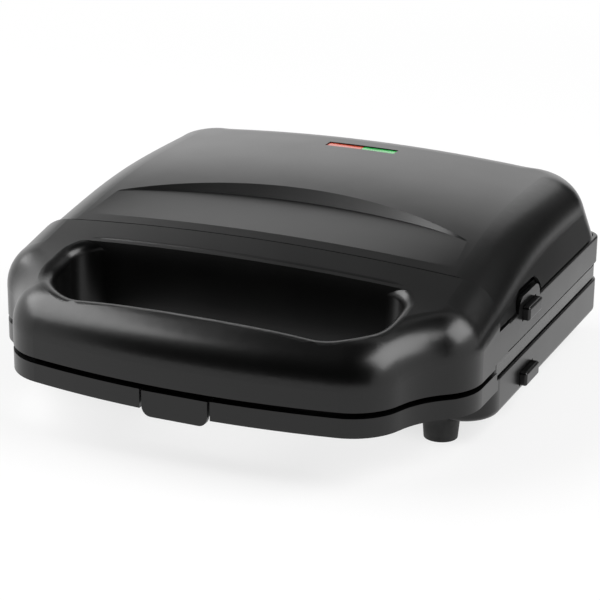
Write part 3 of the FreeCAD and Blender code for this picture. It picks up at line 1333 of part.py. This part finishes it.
latch_body = prism("latch_body", "YZ_Plane", latch_points, f"-{LATCH_HALF}", "dims.latch_width")
rounded(latch_body, "latch_corner", "dims.latch_radius",
        lambda p, d: abs(d.y) > 0.9 and abs(p.z - num(LATCH_LOW)) < 1e-6)
latch_barrel = rod("latch_barrel", "dims.pivot_barrel", "dims.latch_width", f"-{LATCH_HALF}", PIVOT_Y,
                   PIVOT_Z, "x")
latch_hole = rod("latch_hole", "dims.pivot_pin + dims.pin_fit", "dims.latch_width", f"-{LATCH_HALF}", PIVOT_Y,
                 PIVOT_Z, "x")
latch_end = box("latch_end", f"{LATCH_HALF} - dims.latch_wall", LATCH_HALF,
                f"{LATCH_BACK} - dims.fit_gap", f"{BLADE_FRONT} + dims.fit_gap",
                f"{LATCH_LOW} + dims.latch_radius", f"{WEB_LOW} + dims.fit_gap")
latch_end_left = mirror_left("latch_end_left", latch_end)
latch_joined = fuse("latch_joined", latch_body, latch_barrel, latch_end, latch_end_left)
keep("latch_clip", cut("latch_bored", latch_joined, latch_hole))
keep("latch_pin", rod("latch_pin_rod", "dims.pivot_pin", f"2 * {LUG_OUT}", f"-{LUG_OUT}", PIVOT_Y,
                      PIVOT_Z, "x"))

# Rubber feet and their screws
HEAD_TOP = "dims.foot_recess"
foot_outline = [
    ("dims.foot_recess_radius", "0"),
    ("dims.foot_tip_radius", "0"),
    ("dims.foot_radius", FLOOR),
    ("dims.screw_radius + dims.head_gap", FLOOR),
    ("dims.screw_radius + dims.head_gap", HEAD_TOP),
    ("dims.foot_recess_radius", HEAD_TOP),
]
for tag, x, y in (
    ("front_right", FOOT_X, FOOT_FRONT),
    ("front_left", f"-{FOOT_X}", FOOT_FRONT),
    ("rear_right", FOOT_X, FOOT_REAR),
    ("rear_left", f"-{FOOT_X}", FOOT_REAR),
):
    keep("foot_" + tag, put(turned("foot_body_" + tag, foot_outline), x, y, "0"))


def screw(name, x, y, head_low, length):
    head = rod(name + "_head", "dims.screw_head", "dims.screw_head_height", x, y, head_low)
    shank = rod(name + "_shank", "dims.screw_radius", f"dims.screw_head_height + {length}", x, y, head_low)
    right = fuse(name, head, shank)
    return [right, mirror_left(name + "_left", right)]


FOOT_SCREW_LOW = f"({HEAD_TOP} - dims.screw_head_height)"
FOOT_SCREW_LENGTH = f"({FLOOR} - {HEAD_TOP} + dims.tower_height - dims.wall)"
keep("foot_screws", fuse(
    "foot_screw_group",
    *screw("foot_screw_front", FOOT_X, FOOT_FRONT, FOOT_SCREW_LOW, FOOT_SCREW_LENGTH),
    *screw("foot_screw_rear", FOOT_X, FOOT_REAR, FOOT_SCREW_LOW, FOOT_SCREW_LENGTH)))
BASE_SCREW_LOW = f"({FLOOR} + dims.head_gap)"
BASE_SCREW_LENGTH = f"({REFLECTOR_LOW} - {FLOOR} - dims.screw_head_height - 2 * dims.head_gap)"
keep("base_screws", fuse(
    "base_screw_group",
    *screw("base_screw_a", BASE_SCREW_X, BASE_SCREW_FRONT, BASE_SCREW_LOW, BASE_SCREW_LENGTH),
    *screw("base_screw_b", BASE_SCREW_X, BASE_SCREW_REAR, BASE_SCREW_LOW, BASE_SCREW_LENGTH)))
LID_SCREW_LOW = f"({LID} + dims.head_gap)"
LID_SCREW_LENGTH = "(dims.lid_screw_length - dims.head_gap)"
keep("lid_screws", fuse(
    "lid_screw_group",
    *screw("lid_screw_a", LID_SCREW_X, LID_SCREW_FRONT, LID_SCREW_LOW, LID_SCREW_LENGTH),
    *screw("lid_screw_b", LID_SCREW_X, LID_SCREW_REAR, LID_SCREW_LOW, LID_SCREW_LENGTH)))
keep("handle_screws", fuse(
    "handle_screw_group",
    *screw("handle_screw", HANDLE_SCREW_X, HANDLE_SCREW_Y, f"{UNDER_LOW} + dims.head_gap", LID_SCREW_LENGTH)))

# Indicator lenses in the top cover, their lamps and the board that carries them
LENS_TOP = f"({TOP} - dims.lens_recess)"
LENS_LOW = f"({LENS_TOP} - dims.lens_height)"
FLANGE_TOP = f"({TOP} - dims.cover_wall - dims.lens_seat)"


def lens(name, x0, x1, grow_left, grow_right):
    y0 = f"{LAMP_Y} - dims.lens_depth / 2"
    y1 = f"{LAMP_Y} + dims.lens_depth / 2"
    window = box(name + "_window", x0, x1, y0, y1, LENS_LOW, LENS_TOP)
    flange_box = box(name + "_flange", f"{x0} - {grow_left}", f"{x1} + {grow_right}",
                     f"{y0} - dims.lens_flange", f"{y1} + dims.lens_flange",
                     f"{FLANGE_TOP} - dims.lens_flange_height", FLANGE_TOP)
    return fuse(name, window, flange_box)


keep("power_lens", lens("power_lens_body", f"-{LENS_HALF}", "-dims.lens_split / 2", "dims.lens_flange", "0"))
keep("ready_lens", lens("ready_lens_body", "dims.lens_split / 2", LENS_HALF, "0", "dims.lens_flange"))

LAMP_TOP = f"({LENS_LOW} - dims.lamp_air)"
BOARD_TOP = f"({LAMP_TOP} - dims.lamp_height)"
BOARD_LOW = f"({BOARD_TOP} - dims.board_thickness)"
lamp_outline = [
    ("0", "0"),
    ("dims.lamp_radius", "0"),
    ("dims.lamp_radius", "dims.lamp_height / 2"),
    ("dims.lamp_radius * 0.8", "dims.lamp_height * 0.8"),
    ("dims.lamp_radius * 0.4", "dims.lamp_height"),
    ("0", "dims.lamp_height"),
]
keep("power_lamp", put(turned("power_lamp_body", lamp_outline), "-dims.lamp_spread / 2", LAMP_Y, BOARD_TOP))
keep("ready_lamp", put(turned("ready_lamp_body", lamp_outline), "dims.lamp_spread / 2", LAMP_Y, BOARD_TOP))
BOARD_HALF = "dims.board_width / 2"
BOARD_FRONT = f"{LAMP_Y} - dims.board_depth / 2"
BOARD_BACK = f"{LAMP_Y} + dims.board_depth / 2"
keep("lamp_board", box("lamp_board_box", f"-{BOARD_HALF}", BOARD_HALF, BOARD_FRONT, BOARD_BACK, BOARD_LOW,
                       BOARD_TOP))
keep("lamp_bracket", prism("lamp_bracket_body", "XZ_Plane", [
    (f"-{BOARD_HALF} - dims.bracket_wall", CEILING),
    (f"-{BOARD_HALF} + dims.bracket_wall", CEILING),
    (f"-{BOARD_HALF} + dims.bracket_wall", f"{BOARD_LOW} - dims.bracket_wall"),
    (f"{BOARD_HALF} - dims.bracket_wall", f"{BOARD_LOW} - dims.bracket_wall"),
    (f"{BOARD_HALF} - dims.bracket_wall", CEILING),
    (f"{BOARD_HALF} + dims.bracket_wall", CEILING),
    (f"{BOARD_HALF} + dims.bracket_wall", BOARD_LOW),
    (f"-{BOARD_HALF} - dims.bracket_wall", BOARD_LOW),
], f"-({BOARD_BACK})", "dims.board_depth"))

# Thermostat and thermal fuse on the lid liner, with the leads between them
CONTROL_Y = PLATE_MID
keep("thermostat", put(turned("thermostat_body", [
    ("0", "0"),
    ("dims.thermostat_flange", "0"),
    ("dims.thermostat_flange", "dims.thermostat_flange_height"),
    ("dims.thermostat_radius", "dims.thermostat_flange_height"),
    ("dims.thermostat_radius", "dims.thermostat_height"),
    ("0", "dims.thermostat_height"),
]), "dims.thermostat_x", CONTROL_Y, CEILING))
FUSE_Z = f"({CEILING} + dims.fuse_radius)"
FUSE_IN = "(-dims.thermostat_x + dims.fuse_length / 2)"
FUSE_OUT = "(-dims.thermostat_x - dims.fuse_length / 2)"
fuse_can = rod("fuse_can", "dims.fuse_radius", "dims.fuse_length", FUSE_OUT, CONTROL_Y, FUSE_Z, "x")
fuse_wire = rod("fuse_wire", "dims.fuse_lead", "dims.fuse_length + 2 * dims.fuse_lead_length",
                f"{FUSE_OUT} - dims.fuse_lead_length", CONTROL_Y, FUSE_Z, "x")
keep("thermal_fuse", fuse("thermal_fuse_joined", fuse_can, fuse_wire))


def control_leads():
    """Leads on the liner: fuse to thermostat, and each of them to the rear."""
    z = num(FUSE_Z)
    y = num(CONTROL_Y)
    back = num(f"{RECESS_REAR} - dims.rim_front")
    near = num(f"{FUSE_IN} + dims.fuse_lead_length")
    off = num(f"{FUSE_OUT} - dims.fuse_lead_length")
    side = num("dims.thermostat_x - dims.thermostat_flange")
    radius = num("dims.lead_radius")
    bend = num("dims.lead_bend")
    first = Part.makeCylinder(radius, side - near, Vector(near, y, z), Vector(1, 0, 0))
    far_side = num("dims.thermostat_x + dims.thermostat_flange")
    right_turn = far_side + 2 * bend
    left_turn = off - 2 * bend
    right_path = [Vector(far_side, y, z), Vector(right_turn, y, z), Vector(right_turn, back, z)]
    left_path = [Vector(off, y, z), Vector(left_turn, y, z), Vector(left_turn, back, z)]
    return Part.makeCompound([first, tube(right_path, bend, radius), tube(left_path, bend, radius)])


keep("lid_leads", solid("lid_lead_group", control_leads()))

# Cord gland in the rear wall, terminal block behind the liner and the short supply leads
gland_outline = [
    ("dims.gland_bore", "-dims.wall - dims.gland_inside"),
    ("dims.gland_body", "-dims.wall - dims.gland_inside"),
    ("dims.gland_body", "0"),
    ("dims.gland_flange", "0"),
    ("dims.gland_flange", "dims.gland_flange_thickness"),
    ("dims.gland_body", "dims.gland_flange_thickness"),
    ("dims.gland_body - dims.gland_taper", "dims.gland_flange_thickness + dims.gland_boot"),
    ("dims.gland_bore", "dims.gland_flange_thickness + dims.gland_boot"),
]
gland = turned("gland_body", gland_outline)
gland.Placement = Placement(Vector(), TURNS["y"])
keep("cord_gland", put(gland, "dims.gland_x", REAR, GLAND_Z))
TERMINAL_RIGHT = "(dims.gland_x - dims.gland_flange - dims.terminal_gap)"
TERMINAL_BACK = f"({REAR} - dims.bottom_round)"
terminal = box("terminal_box", f"{TERMINAL_RIGHT} - dims.terminal_length", TERMINAL_RIGHT,
               f"{TERMINAL_BACK} - dims.terminal_depth", TERMINAL_BACK, FLOOR_TOP,
               f"{FLOOR_TOP} + dims.terminal_height")
terminal_holes = []
for tag, share in (("a", "dims.terminal_length / 4"), ("b", "3 * dims.terminal_length / 4")):
    terminal_holes.append(rod("terminal_hole_" + tag, "dims.terminal_screw", "dims.terminal_height / 2",
                              f"{TERMINAL_RIGHT} - {share}", f"{TERMINAL_BACK} - dims.terminal_depth / 2",
                              f"{FLOOR_TOP} + dims.terminal_height / 2"))
keep("terminal_block", cut("terminal_cut", terminal, *terminal_holes))


def supply_leads():
    """Two leads from the gland, one over the other, bent along the rear wall to the block."""
    x = num("dims.gland_x")
    end = num(TERMINAL_RIGHT)
    start = num(f"{REAR} - dims.wall - dims.gland_inside")
    z = num(GLAND_Z)
    radius = num("dims.lead_radius")
    bend = num("dims.supply_lead_bend")
    turn = start - bend - num("dims.supply_lead_run")
    apart = radius + num("dims.supply_lead_gap / 2")
    runs = []
    for level in (z - apart, z + apart):
        path = [Vector(x, start, level), Vector(x, turn, level), Vector(end, turn, level)]
        runs.append(tube(path, bend, radius))
    return Part.makeCompound(runs)


keep("base_leads", solid("base_lead_group", supply_leads()))

doc.recompute()
faults = []
for item in doc.Objects:
    if "Invalid" in item.State or "Error" in item.State:
        faults.append("%s %s" % (item.Name, item.State))
for item in sub_parts:
    if item.Shape.isNull() or not item.Shape.isValid():
        faults.append("%s shape" % item.Label)
if faults:
    raise RuntimeError("faulty objects: " + ", ".join(faults))

os.makedirs("parts", exist_ok=True)
for item in sub_parts:
    item.Shape.exportStep("parts/%s.step" % item.Label)
    print("%-24s solids %d volume %.0f" % (item.Label, len(item.Shape.Solids), item.Shape.Volume))
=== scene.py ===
import json
import math

import bpy
from mathutils import Matrix, Vector

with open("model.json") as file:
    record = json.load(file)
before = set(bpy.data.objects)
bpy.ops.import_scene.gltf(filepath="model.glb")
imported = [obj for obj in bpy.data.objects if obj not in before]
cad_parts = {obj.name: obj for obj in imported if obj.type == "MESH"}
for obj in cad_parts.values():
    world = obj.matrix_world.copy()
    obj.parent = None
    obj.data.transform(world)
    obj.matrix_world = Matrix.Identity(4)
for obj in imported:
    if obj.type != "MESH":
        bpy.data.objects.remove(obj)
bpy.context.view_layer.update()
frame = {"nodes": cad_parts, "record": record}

MM = 0.001
WHITE = (1.0, 1.0, 1.0, 1.0)
# Part of a noise's range that holds most of its values, so that patches reach both ends of a ramp
PATCH_RANGE = (0.3, 0.7)
# Size of a surface's roughness patches as a share of its colour patches, and its grain's height
ROUGHNESS_PATCH = 0.7
GRAIN_HEIGHT_MM = 0.02


def linear(code):
    """Linear RGBA of an sRGB hex colour."""
    channels = []
    for place in (1, 3, 5):
        value = int(code[place:place + 2], 16) / 255.0
        channels.append(value / 12.92 if value <= 0.04045 else ((value + 0.055) / 1.055) ** 2.4)
    return (*channels, 1.0)


def add_node(tree, kind, inputs=None, **settings):
    """Adds a node with its settings; an input is a value or the socket that feeds it."""
    made = tree.nodes.new(kind)
    for name, value in settings.items():
        setattr(made, name, value)
    for key, value in (inputs or {}).items():
        if isinstance(value, bpy.types.NodeSocket):
            tree.links.new(value, made.inputs[key])
        else:
            made.inputs[key].default_value = value
    return made


def per_metre(size_mm):
    """Texture scale whose features are about this many millimetres across."""
    return 1.0 / (size_mm * MM)


def mottled(tree, place, size_mm, first, second):
    """Socket that drifts between two values or colours over patches of the given size."""
    patches = add_node(tree, "ShaderNodeTexNoise", {
        "Vector": place,
        "Scale": per_metre(size_mm),
        "Detail": 2.0,
    })
    ramp = add_node(tree, "ShaderNodeValToRGB", {"Fac": patches.outputs["Fac"]})
    for stop, position, value in zip(ramp.color_ramp.elements, PATCH_RANGE, (first, second)):
        stop.position = position
        stop.color = value if isinstance(value, tuple) else (value, value, value, 1.0)
    return ramp.outputs["Color"]


def grain(tree, place, size_mm, height_mm, strength):
    """Normal socket for a fine moulded or cast grain."""
    cells = add_node(tree, "ShaderNodeTexNoise", {
        "Vector": place,
        "Scale": per_metre(size_mm),
        "Detail": 1.0,
    })
    bump = add_node(tree, "ShaderNodeBump", {
        "Strength": strength,
        "Distance": height_mm * MM,
        "Height": cells.outputs["Fac"],
    })
    return bump.outputs["Normal"]


def new_finish(name):
    """Empty material with its tree, Principled shader and Object coordinates."""
    finish = bpy.data.materials.new(name)
    finish.use_nodes = True
    tree = finish.node_tree
    shader = tree.nodes["Principled BSDF"]
    place = add_node(tree, "ShaderNodeTexCoord").outputs["Object"]
    return finish, tree, shader, place


def surface(name, colours, roughness, patch_mm, grain_mm, grain_strength, metallic=0.0, ior=1.5):
    """Finish whose colour and roughness drift over patches, with a fine grain in its normal."""
    finish, tree, shader, place = new_finish(name)
    first, second = (linear(code) for code in colours)
    tree.links.new(mottled(tree, place, patch_mm, first, second), shader.inputs["Base Color"])
    tree.links.new(mottled(tree, place, patch_mm * ROUGHNESS_PATCH, *roughness), shader.inputs["Roughness"])
    tree.links.new(grain(tree, place, grain_mm, GRAIN_HEIGHT_MM, grain_strength), shader.inputs["Normal"])
    shader.inputs["Metallic"].default_value = metallic
    shader.inputs["IOR"].default_value = ior
    return finish


finishes = {}

# PBT from a spark-eroded mould: deep black with broad soft highlights. The real grain is about
# 0.1 mm and too fine to show, so it is drawn at 0.8 mm. The index is below that of bare PBT,
# because the texture takes some of the shine.
finishes["black_plastic"] = surface("spark_eroded_black_pbt", ("#040404", "#060606"), (0.28, 0.3),
                                    35.0, 0.8, 0.05, ior=1.45)
# The same PBT from a polished mould: a little brighter in its reflections
finishes["liner_plastic"] = surface("polished_black_pbt", ("#070707", "#0a0a0a"), (0.22, 0.27),
                                    30.0, 0.9, 0.04)

# PTFE sprayed on die-cast aluminium: dark grey, matt, with fine pale specks up to 0.8 mm across
coating, tree, shader, place = new_finish("sprayed_ptfe")
specks = add_node(tree, "ShaderNodeTexVoronoi", {"Vector": place, "Scale": per_metre(2.4)}, feature="F1")
speck_ramp = add_node(tree, "ShaderNodeValToRGB", {"Fac": specks.outputs["Distance"]})
speck_ramp.color_ramp.elements[0].position = 0.10
speck_ramp.color_ramp.elements[0].color = linear("#4a4947")
speck_ramp.color_ramp.elements[1].position = 0.24
speck_ramp.color_ramp.elements[1].color = linear("#191918")
tree.links.new(speck_ramp.outputs["Color"], shader.inputs["Base Color"])
tree.links.new(mottled(tree, place, 9.0, 0.36, 0.5), shader.inputs["Roughness"])
tree.links.new(grain(tree, place, 0.9, 0.03, 0.22), shader.inputs["Normal"])
shader.inputs["IOR"].default_value = 1.38
finishes["nonstick"] = coating

# Rolled aluminised steel: pale grey, with the long faint streaks of the rolls, 1.5 mm apart
sheet, tree, shader, place = new_finish("rolled_aluminised_steel")
stretch = add_node(tree, "ShaderNodeMapping", {"Vector": place, "Scale": (1.0, 0.04, 1.0)})
streaks = stretch.outputs["Vector"]
tree.links.new(mottled(tree, streaks, 1.5, linear("#b0b2b2"), linear("#cccdcc")), shader.inputs["Base Color"])
tree.links.new(mottled(tree, streaks, 1.5, 0.24, 0.4), shader.inputs["Roughness"])
tree.links.new(grain(tree, streaks, 1.5, 0.01, 0.15), shader.inputs["Normal"])
shader.inputs["Metallic"].default_value = 1.0
finishes["bare_sheet"] = sheet

# Zinc-plated steel: bluish bright metal with cloudy patches of plating
finishes["steel"] = surface("zinc_plated_steel", ("#a4a9ad", "#c6c9ca"), (0.2, 0.36),
                            3.0, 0.8, 0.05, metallic=1.0)

# Stainless heater tube after its first firings: straw to grey-blue tints along its length
tube, tree, shader, place = new_finish("heat_tinted_stainless")
tint = add_node(tree, "ShaderNodeTexNoise", {"Vector": place, "Scale": per_metre(40.0), "Detail": 1.0})
tints = add_node(tree, "ShaderNodeValToRGB", {"Fac": tint.outputs["Fac"]})
tints.color_ramp.elements[0].position = 0.35
tints.color_ramp.elements[0].color = linear("#94815f")
tints.color_ramp.elements[1].position = 0.65
tints.color_ramp.elements[1].color = linear("#6d7076")
tree.links.new(tints.outputs["Color"], shader.inputs["Base Color"])
tree.links.new(mottled(tree, place, 6.0, 0.32, 0.48), shader.inputs["Roughness"])
tree.links.new(grain(tree, place, 0.9, GRAIN_HEIGHT_MM, 0.08), shader.inputs["Normal"])
shader.inputs["Metallic"].default_value = 1.0
finishes["heater_steel"] = tube

# Moulded nitrile rubber: matt black with a dusty bloom in patches
finishes["rubber"] = surface("moulded_nitrile_rubber", ("#101010", "#1b1b1a"), (0.6, 0.75), 8.0, 0.7, 0.15)


def tinted_lens(name, colours):
    """Moulded polycarbonate, tinted all through: glossy, with light scattered a millimetre deep."""
    finish, tree, shader, place = new_finish(name)
    first, second = (linear(code) for code in colours)
    tree.links.new(mottled(tree, place, 6.0, first, second), shader.inputs["Base Color"])
    tree.links.new(mottled(tree, place, 4.0, 0.14, 0.2), shader.inputs["Roughness"])
    shader.inputs["IOR"].default_value = 1.58
    shader.inputs["Subsurface Weight"].default_value = 0.2
    shader.inputs["Subsurface Radius"].default_value = (1.0, 0.6, 0.5)
    shader.inputs["Subsurface Scale"].default_value = 1.0 * MM
    return finish


finishes["red_lens"] = tinted_lens("red_polycarbonate", ("#bc4630", "#c45038"))
finishes["green_lens"] = tinted_lens("green_polycarbonate", ("#2ca34a", "#38b057"))

# Drawn soda glass of the indicator lamps: pale, shiny and a little uneven
finishes["lamp_clear"] = surface("drawn_soda_glass", ("#c6cac9", "#dadddc"), (0.05, 0.12), 4.0, 0.9, 0.02)
# Phenolic paper laminate: brown, with cloudy resin and a paper grain
finishes["board"] = surface("phenolic_paper_laminate", ("#67431f", "#805a33"), (0.42, 0.58), 4.0, 0.7, 0.12)
# Pressed steatite: off-white, matt, with a faint pressing grain
finishes["ceramic"] = surface("pressed_steatite", ("#d9d3c5", "#e8e4da"), (0.36, 0.52),
                              5.0, 0.9, 0.1, ior=1.55)

# Braided glass-fibre sleeve: pale and dry. Its colour holds painted shade in slanting bands that repeat
# every 15 mm along a lead, darker where the weave's bump is low. Along an axis the wave repeats every
# 0.63 of its unit, which is 24 mm.
sleeve, tree, shader, place = new_finish("braided_glass_sleeve")
yarn = add_node(tree, "ShaderNodeTexWave", {
    "Vector": place,
    "Scale": per_metre(24.0),
    "Distortion": 1.0,
}, wave_type="BANDS", bands_direction="DIAGONAL")
# Pale yarn colour, with painted shade where the weave's bands are low
yarn_and_shade_ramp = add_node(tree, "ShaderNodeValToRGB", {"Fac": yarn.outputs["Fac"]})
yarn_and_shade_ramp.color_ramp.elements[0].color = linear("#b9b2a2")
yarn_and_shade_ramp.color_ramp.elements[1].color = linear("#e0dcd2")
tree.links.new(yarn_and_shade_ramp.outputs["Color"], shader.inputs["Base Color"])
weave = add_node(tree, "ShaderNodeBump", {
    "Strength": 0.3,
    "Distance": 0.1 * MM,
    "Height": yarn.outputs["Fac"],
})
tree.links.new(weave.outputs["Normal"], shader.inputs["Normal"])
tree.links.new(mottled(tree, place, 3.0, 0.6, 0.75), shader.inputs["Roughness"])
finishes["lead_sleeve"] = sleeve

slot_of = {row["node"]: row["material_slot"] for row in frame["record"]["subparts"]}
for name, piece in frame["nodes"].items():
    piece.data.materials.clear()
    piece.data.materials.append(finishes[slot_of[name]])

# Camera at the photograph's angle
AZIMUTH = math.radians(23.773)
ELEVATION = math.radians(19.912)
ROLL = math.radians(0.609)
EYE = Vector((401.469, -904.711, 395.006)) * MM
FOCAL_LENGTH_MM = 127.0
SENSOR_MM = 36.0
level = Vector((math.cos(AZIMUTH), math.sin(AZIMUTH), 0.0))
back = Vector((
    math.sin(AZIMUTH) * math.cos(ELEVATION),
    -math.cos(AZIMUTH) * math.cos(ELEVATION),
    math.sin(ELEVATION),
))
upright = back.cross(level)
right = level * math.cos(ROLL) + upright * math.sin(ROLL)
up = upright * math.cos(ROLL) - level * math.sin(ROLL)
optics = bpy.data.cameras.new("photo_camera")
optics.lens = FOCAL_LENGTH_MM
optics.sensor_width = SENSOR_MM
optics.clip_start = 0.05
camera = bpy.data.objects.new("photo_camera", optics)
bpy.context.scene.collection.objects.link(camera)
camera.matrix_world = Matrix((
    (right.x, up.x, back.x, EYE.x),
    (right.y, up.y, back.y, EYE.y),
    (right.z, up.z, back.z, EYE.z),
    (0.0, 0.0, 0.0, 1.0),
))
bpy.context.scene.camera = camera


def seen_share(tree):
    """Socket that is 1 for rays that show the background: camera, glossy and transmission rays."""
    rays = add_node(tree, "ShaderNodeLightPath").outputs
    direct = add_node(tree, "ShaderNodeMath", {0: rays["Is Camera Ray"], 1: rays["Is Glossy Ray"]},
                      operation="MAXIMUM")
    seen = add_node(tree, "ShaderNodeMath", {0: direct.outputs[0], 1: rays["Is Transmission Ray"]},
                    operation="MAXIMUM")
    return seen.outputs[0]


# White paper floor that keeps the object's shadow. Near the object the paper glows less, so that the
# shadow shows; further out it is as white as the room.
FLOOR_SIZE = 6.0
GLOW_NEAR = 0.74
GLOW_FAR = 1.0
SHADOW_ROOM = (0.3, 0.9)
bpy.ops.object.select_all(action="DESELECT")
bpy.ops.mesh.primitive_plane_add(size=FLOOR_SIZE, location=(0.0, 0.0, 0.0))
floor = bpy.context.object
floor.name = "floor"
paper = bpy.data.materials.new("white_paper")
paper.use_nodes = True
tree = paper.node_tree
tree.nodes.clear()
spot = add_node(tree, "ShaderNodeTexCoord").outputs["Object"]
distance = add_node(tree, "ShaderNodeVectorMath", {0: spot}, operation="LENGTH")
whiten = add_node(tree, "ShaderNodeMapRange", {
    "Value": distance.outputs["Value"],
    "From Min": SHADOW_ROOM[0],
    "From Max": SHADOW_ROOM[1],
    "To Min": GLOW_NEAR,
    "To Max": GLOW_FAR,
})
share = add_node(tree, "ShaderNodeMath", {0: seen_share(tree), 1: whiten.outputs[0]}, operation="MULTIPLY")
matt = add_node(tree, "ShaderNodeBsdfDiffuse", {"Color": linear("#f4f4f4")})
glow = add_node(tree, "ShaderNodeEmission", {"Color": WHITE, "Strength": 1.0})
both = add_node(tree, "ShaderNodeMixShader", {0: share.outputs[0], 1: matt.outputs[0], 2: glow.outputs[0]})
add_node(tree, "ShaderNodeOutputMaterial", {"Surface": both.outputs[0]})
floor.data.materials.append(paper)

# White room, dimmer for the light that it sheds than for what is seen of it
ROOM_LIGHT = 0.18
world = bpy.data.worlds.new("studio")
bpy.context.scene.world = world
world.use_nodes = True
tree = world.node_tree
tree.nodes.clear()
strength = add_node(tree, "ShaderNodeMapRange", {
    "Value": seen_share(tree),
    "To Min": ROOM_LIGHT,
    "To Max": 1.0,
})
sky = add_node(tree, "ShaderNodeBackground", {"Color": WHITE, "Strength": strength.outputs[0]})
add_node(tree, "ShaderNodeOutputWorld", {"Surface": sky.outputs[0]})

MIDDLE = Vector((0.0, 0.0, 0.05))
STUDIO_REACH = 1.5


def outward(azimuth, elevation):
    """Direction from the object; azimuth 0 is the front, 90 the right."""
    turn = math.radians(azimuth)
    rise = math.radians(elevation)
    return Vector((math.sin(turn) * math.cos(rise), -math.cos(turn) * math.cos(rise), math.sin(rise)))


def span(angle):
    """Width that covers an angle at the studio's reach."""
    return 2.0 * STUDIO_REACH * math.tan(math.radians(angle / 2.0))


def soft_box(name, azimuth, elevation, wide, tall, radiance):
    """Rectangular lamp that covers the given angles and faces the object."""
    lamp = bpy.data.lights.new(name, "AREA")
    lamp.shape = "RECTANGLE"
    lamp.size = span(wide)
    lamp.size_y = span(tall)
    lamp.energy = radiance * math.pi * lamp.size * lamp.size_y
    holder = bpy.data.objects.new(name, lamp)
    bpy.context.scene.collection.objects.link(holder)
    away = outward(azimuth, elevation)
    holder.visible_camera = False
    holder.location = MIDDLE + away * STUDIO_REACH
    holder.rotation_euler = (-away).to_track_quat("-Z", "Y").to_euler()


# Lamps for the two ends of the grip, so high that the lid doesn't turn white in views from the sides,
# and a dim one low at the back
soft_box("left_box", -79.0, 41.0, 52.0, 36.0, 5.0)
soft_box("right_box", 101.0, 41.0, 44.0, 36.0, 5.6)
soft_box("back_box", -155.0, 13.0, 64.0, 20.0, 0.4)

black_cloth = bpy.data.materials.new("black_cloth")
black_cloth.use_nodes = True
shader = black_cloth.node_tree.nodes["Principled BSDF"]
shader.inputs["Base Color"].default_value = linear("#020202")
shader.inputs["Specular IOR Level"].default_value = 0.0
shader.inputs["Roughness"].default_value = 1.0


def black_card(name, place, facing, width, height):
    """Black cloth that keeps white out of some reflections; the camera doesn't see it."""
    bpy.ops.object.select_all(action="DESELECT")
    bpy.ops.mesh.primitive_plane_add(size=1.0, location=(0.0, 0.0, 0.0))
    card = bpy.context.object
    card.name = name
    card.scale = (width, height, 1.0)
    card.location = place
    card.rotation_euler = facing.to_track_quat("Z", "Y").to_euler()
    card.visible_camera = False
    card.visible_shadow = False
    card.visible_diffuse = False
    card.data.materials.append(black_cloth)


# Cards round the object: azimuth, elevation, and the angles that they cover
for name, azimuth, elevation, wide, tall in (
    ("front_card", 9.0, 30.0, 102.0, 62.0),
    ("right_rear_card", 147.0, 22.0, 40.0, 44.0),
    ("rear_card", -170.0, 50.0, 90.0, 20.0),
    ("top_card", 0.0, 86.0, 56.0, 56.0),
):
    away = outward(azimuth, elevation)
    black_card(name, MIDDLE + away * STUDIO_REACH, -away, span(wide), span(tall))
# A card on the table, which the right side of the lid shows in place of the white paper
TABLE_CARD_PLACE = Vector((0.39, 0.34, 0.001))
TABLE_CARD_SIZE = (0.41, 0.5)
black_card("table_card", TABLE_CARD_PLACE, Vector((0.0, 0.0, 1.0)), *TABLE_CARD_SIZE)

bpy.context.scene.view_settings.view_transform = "Standard"
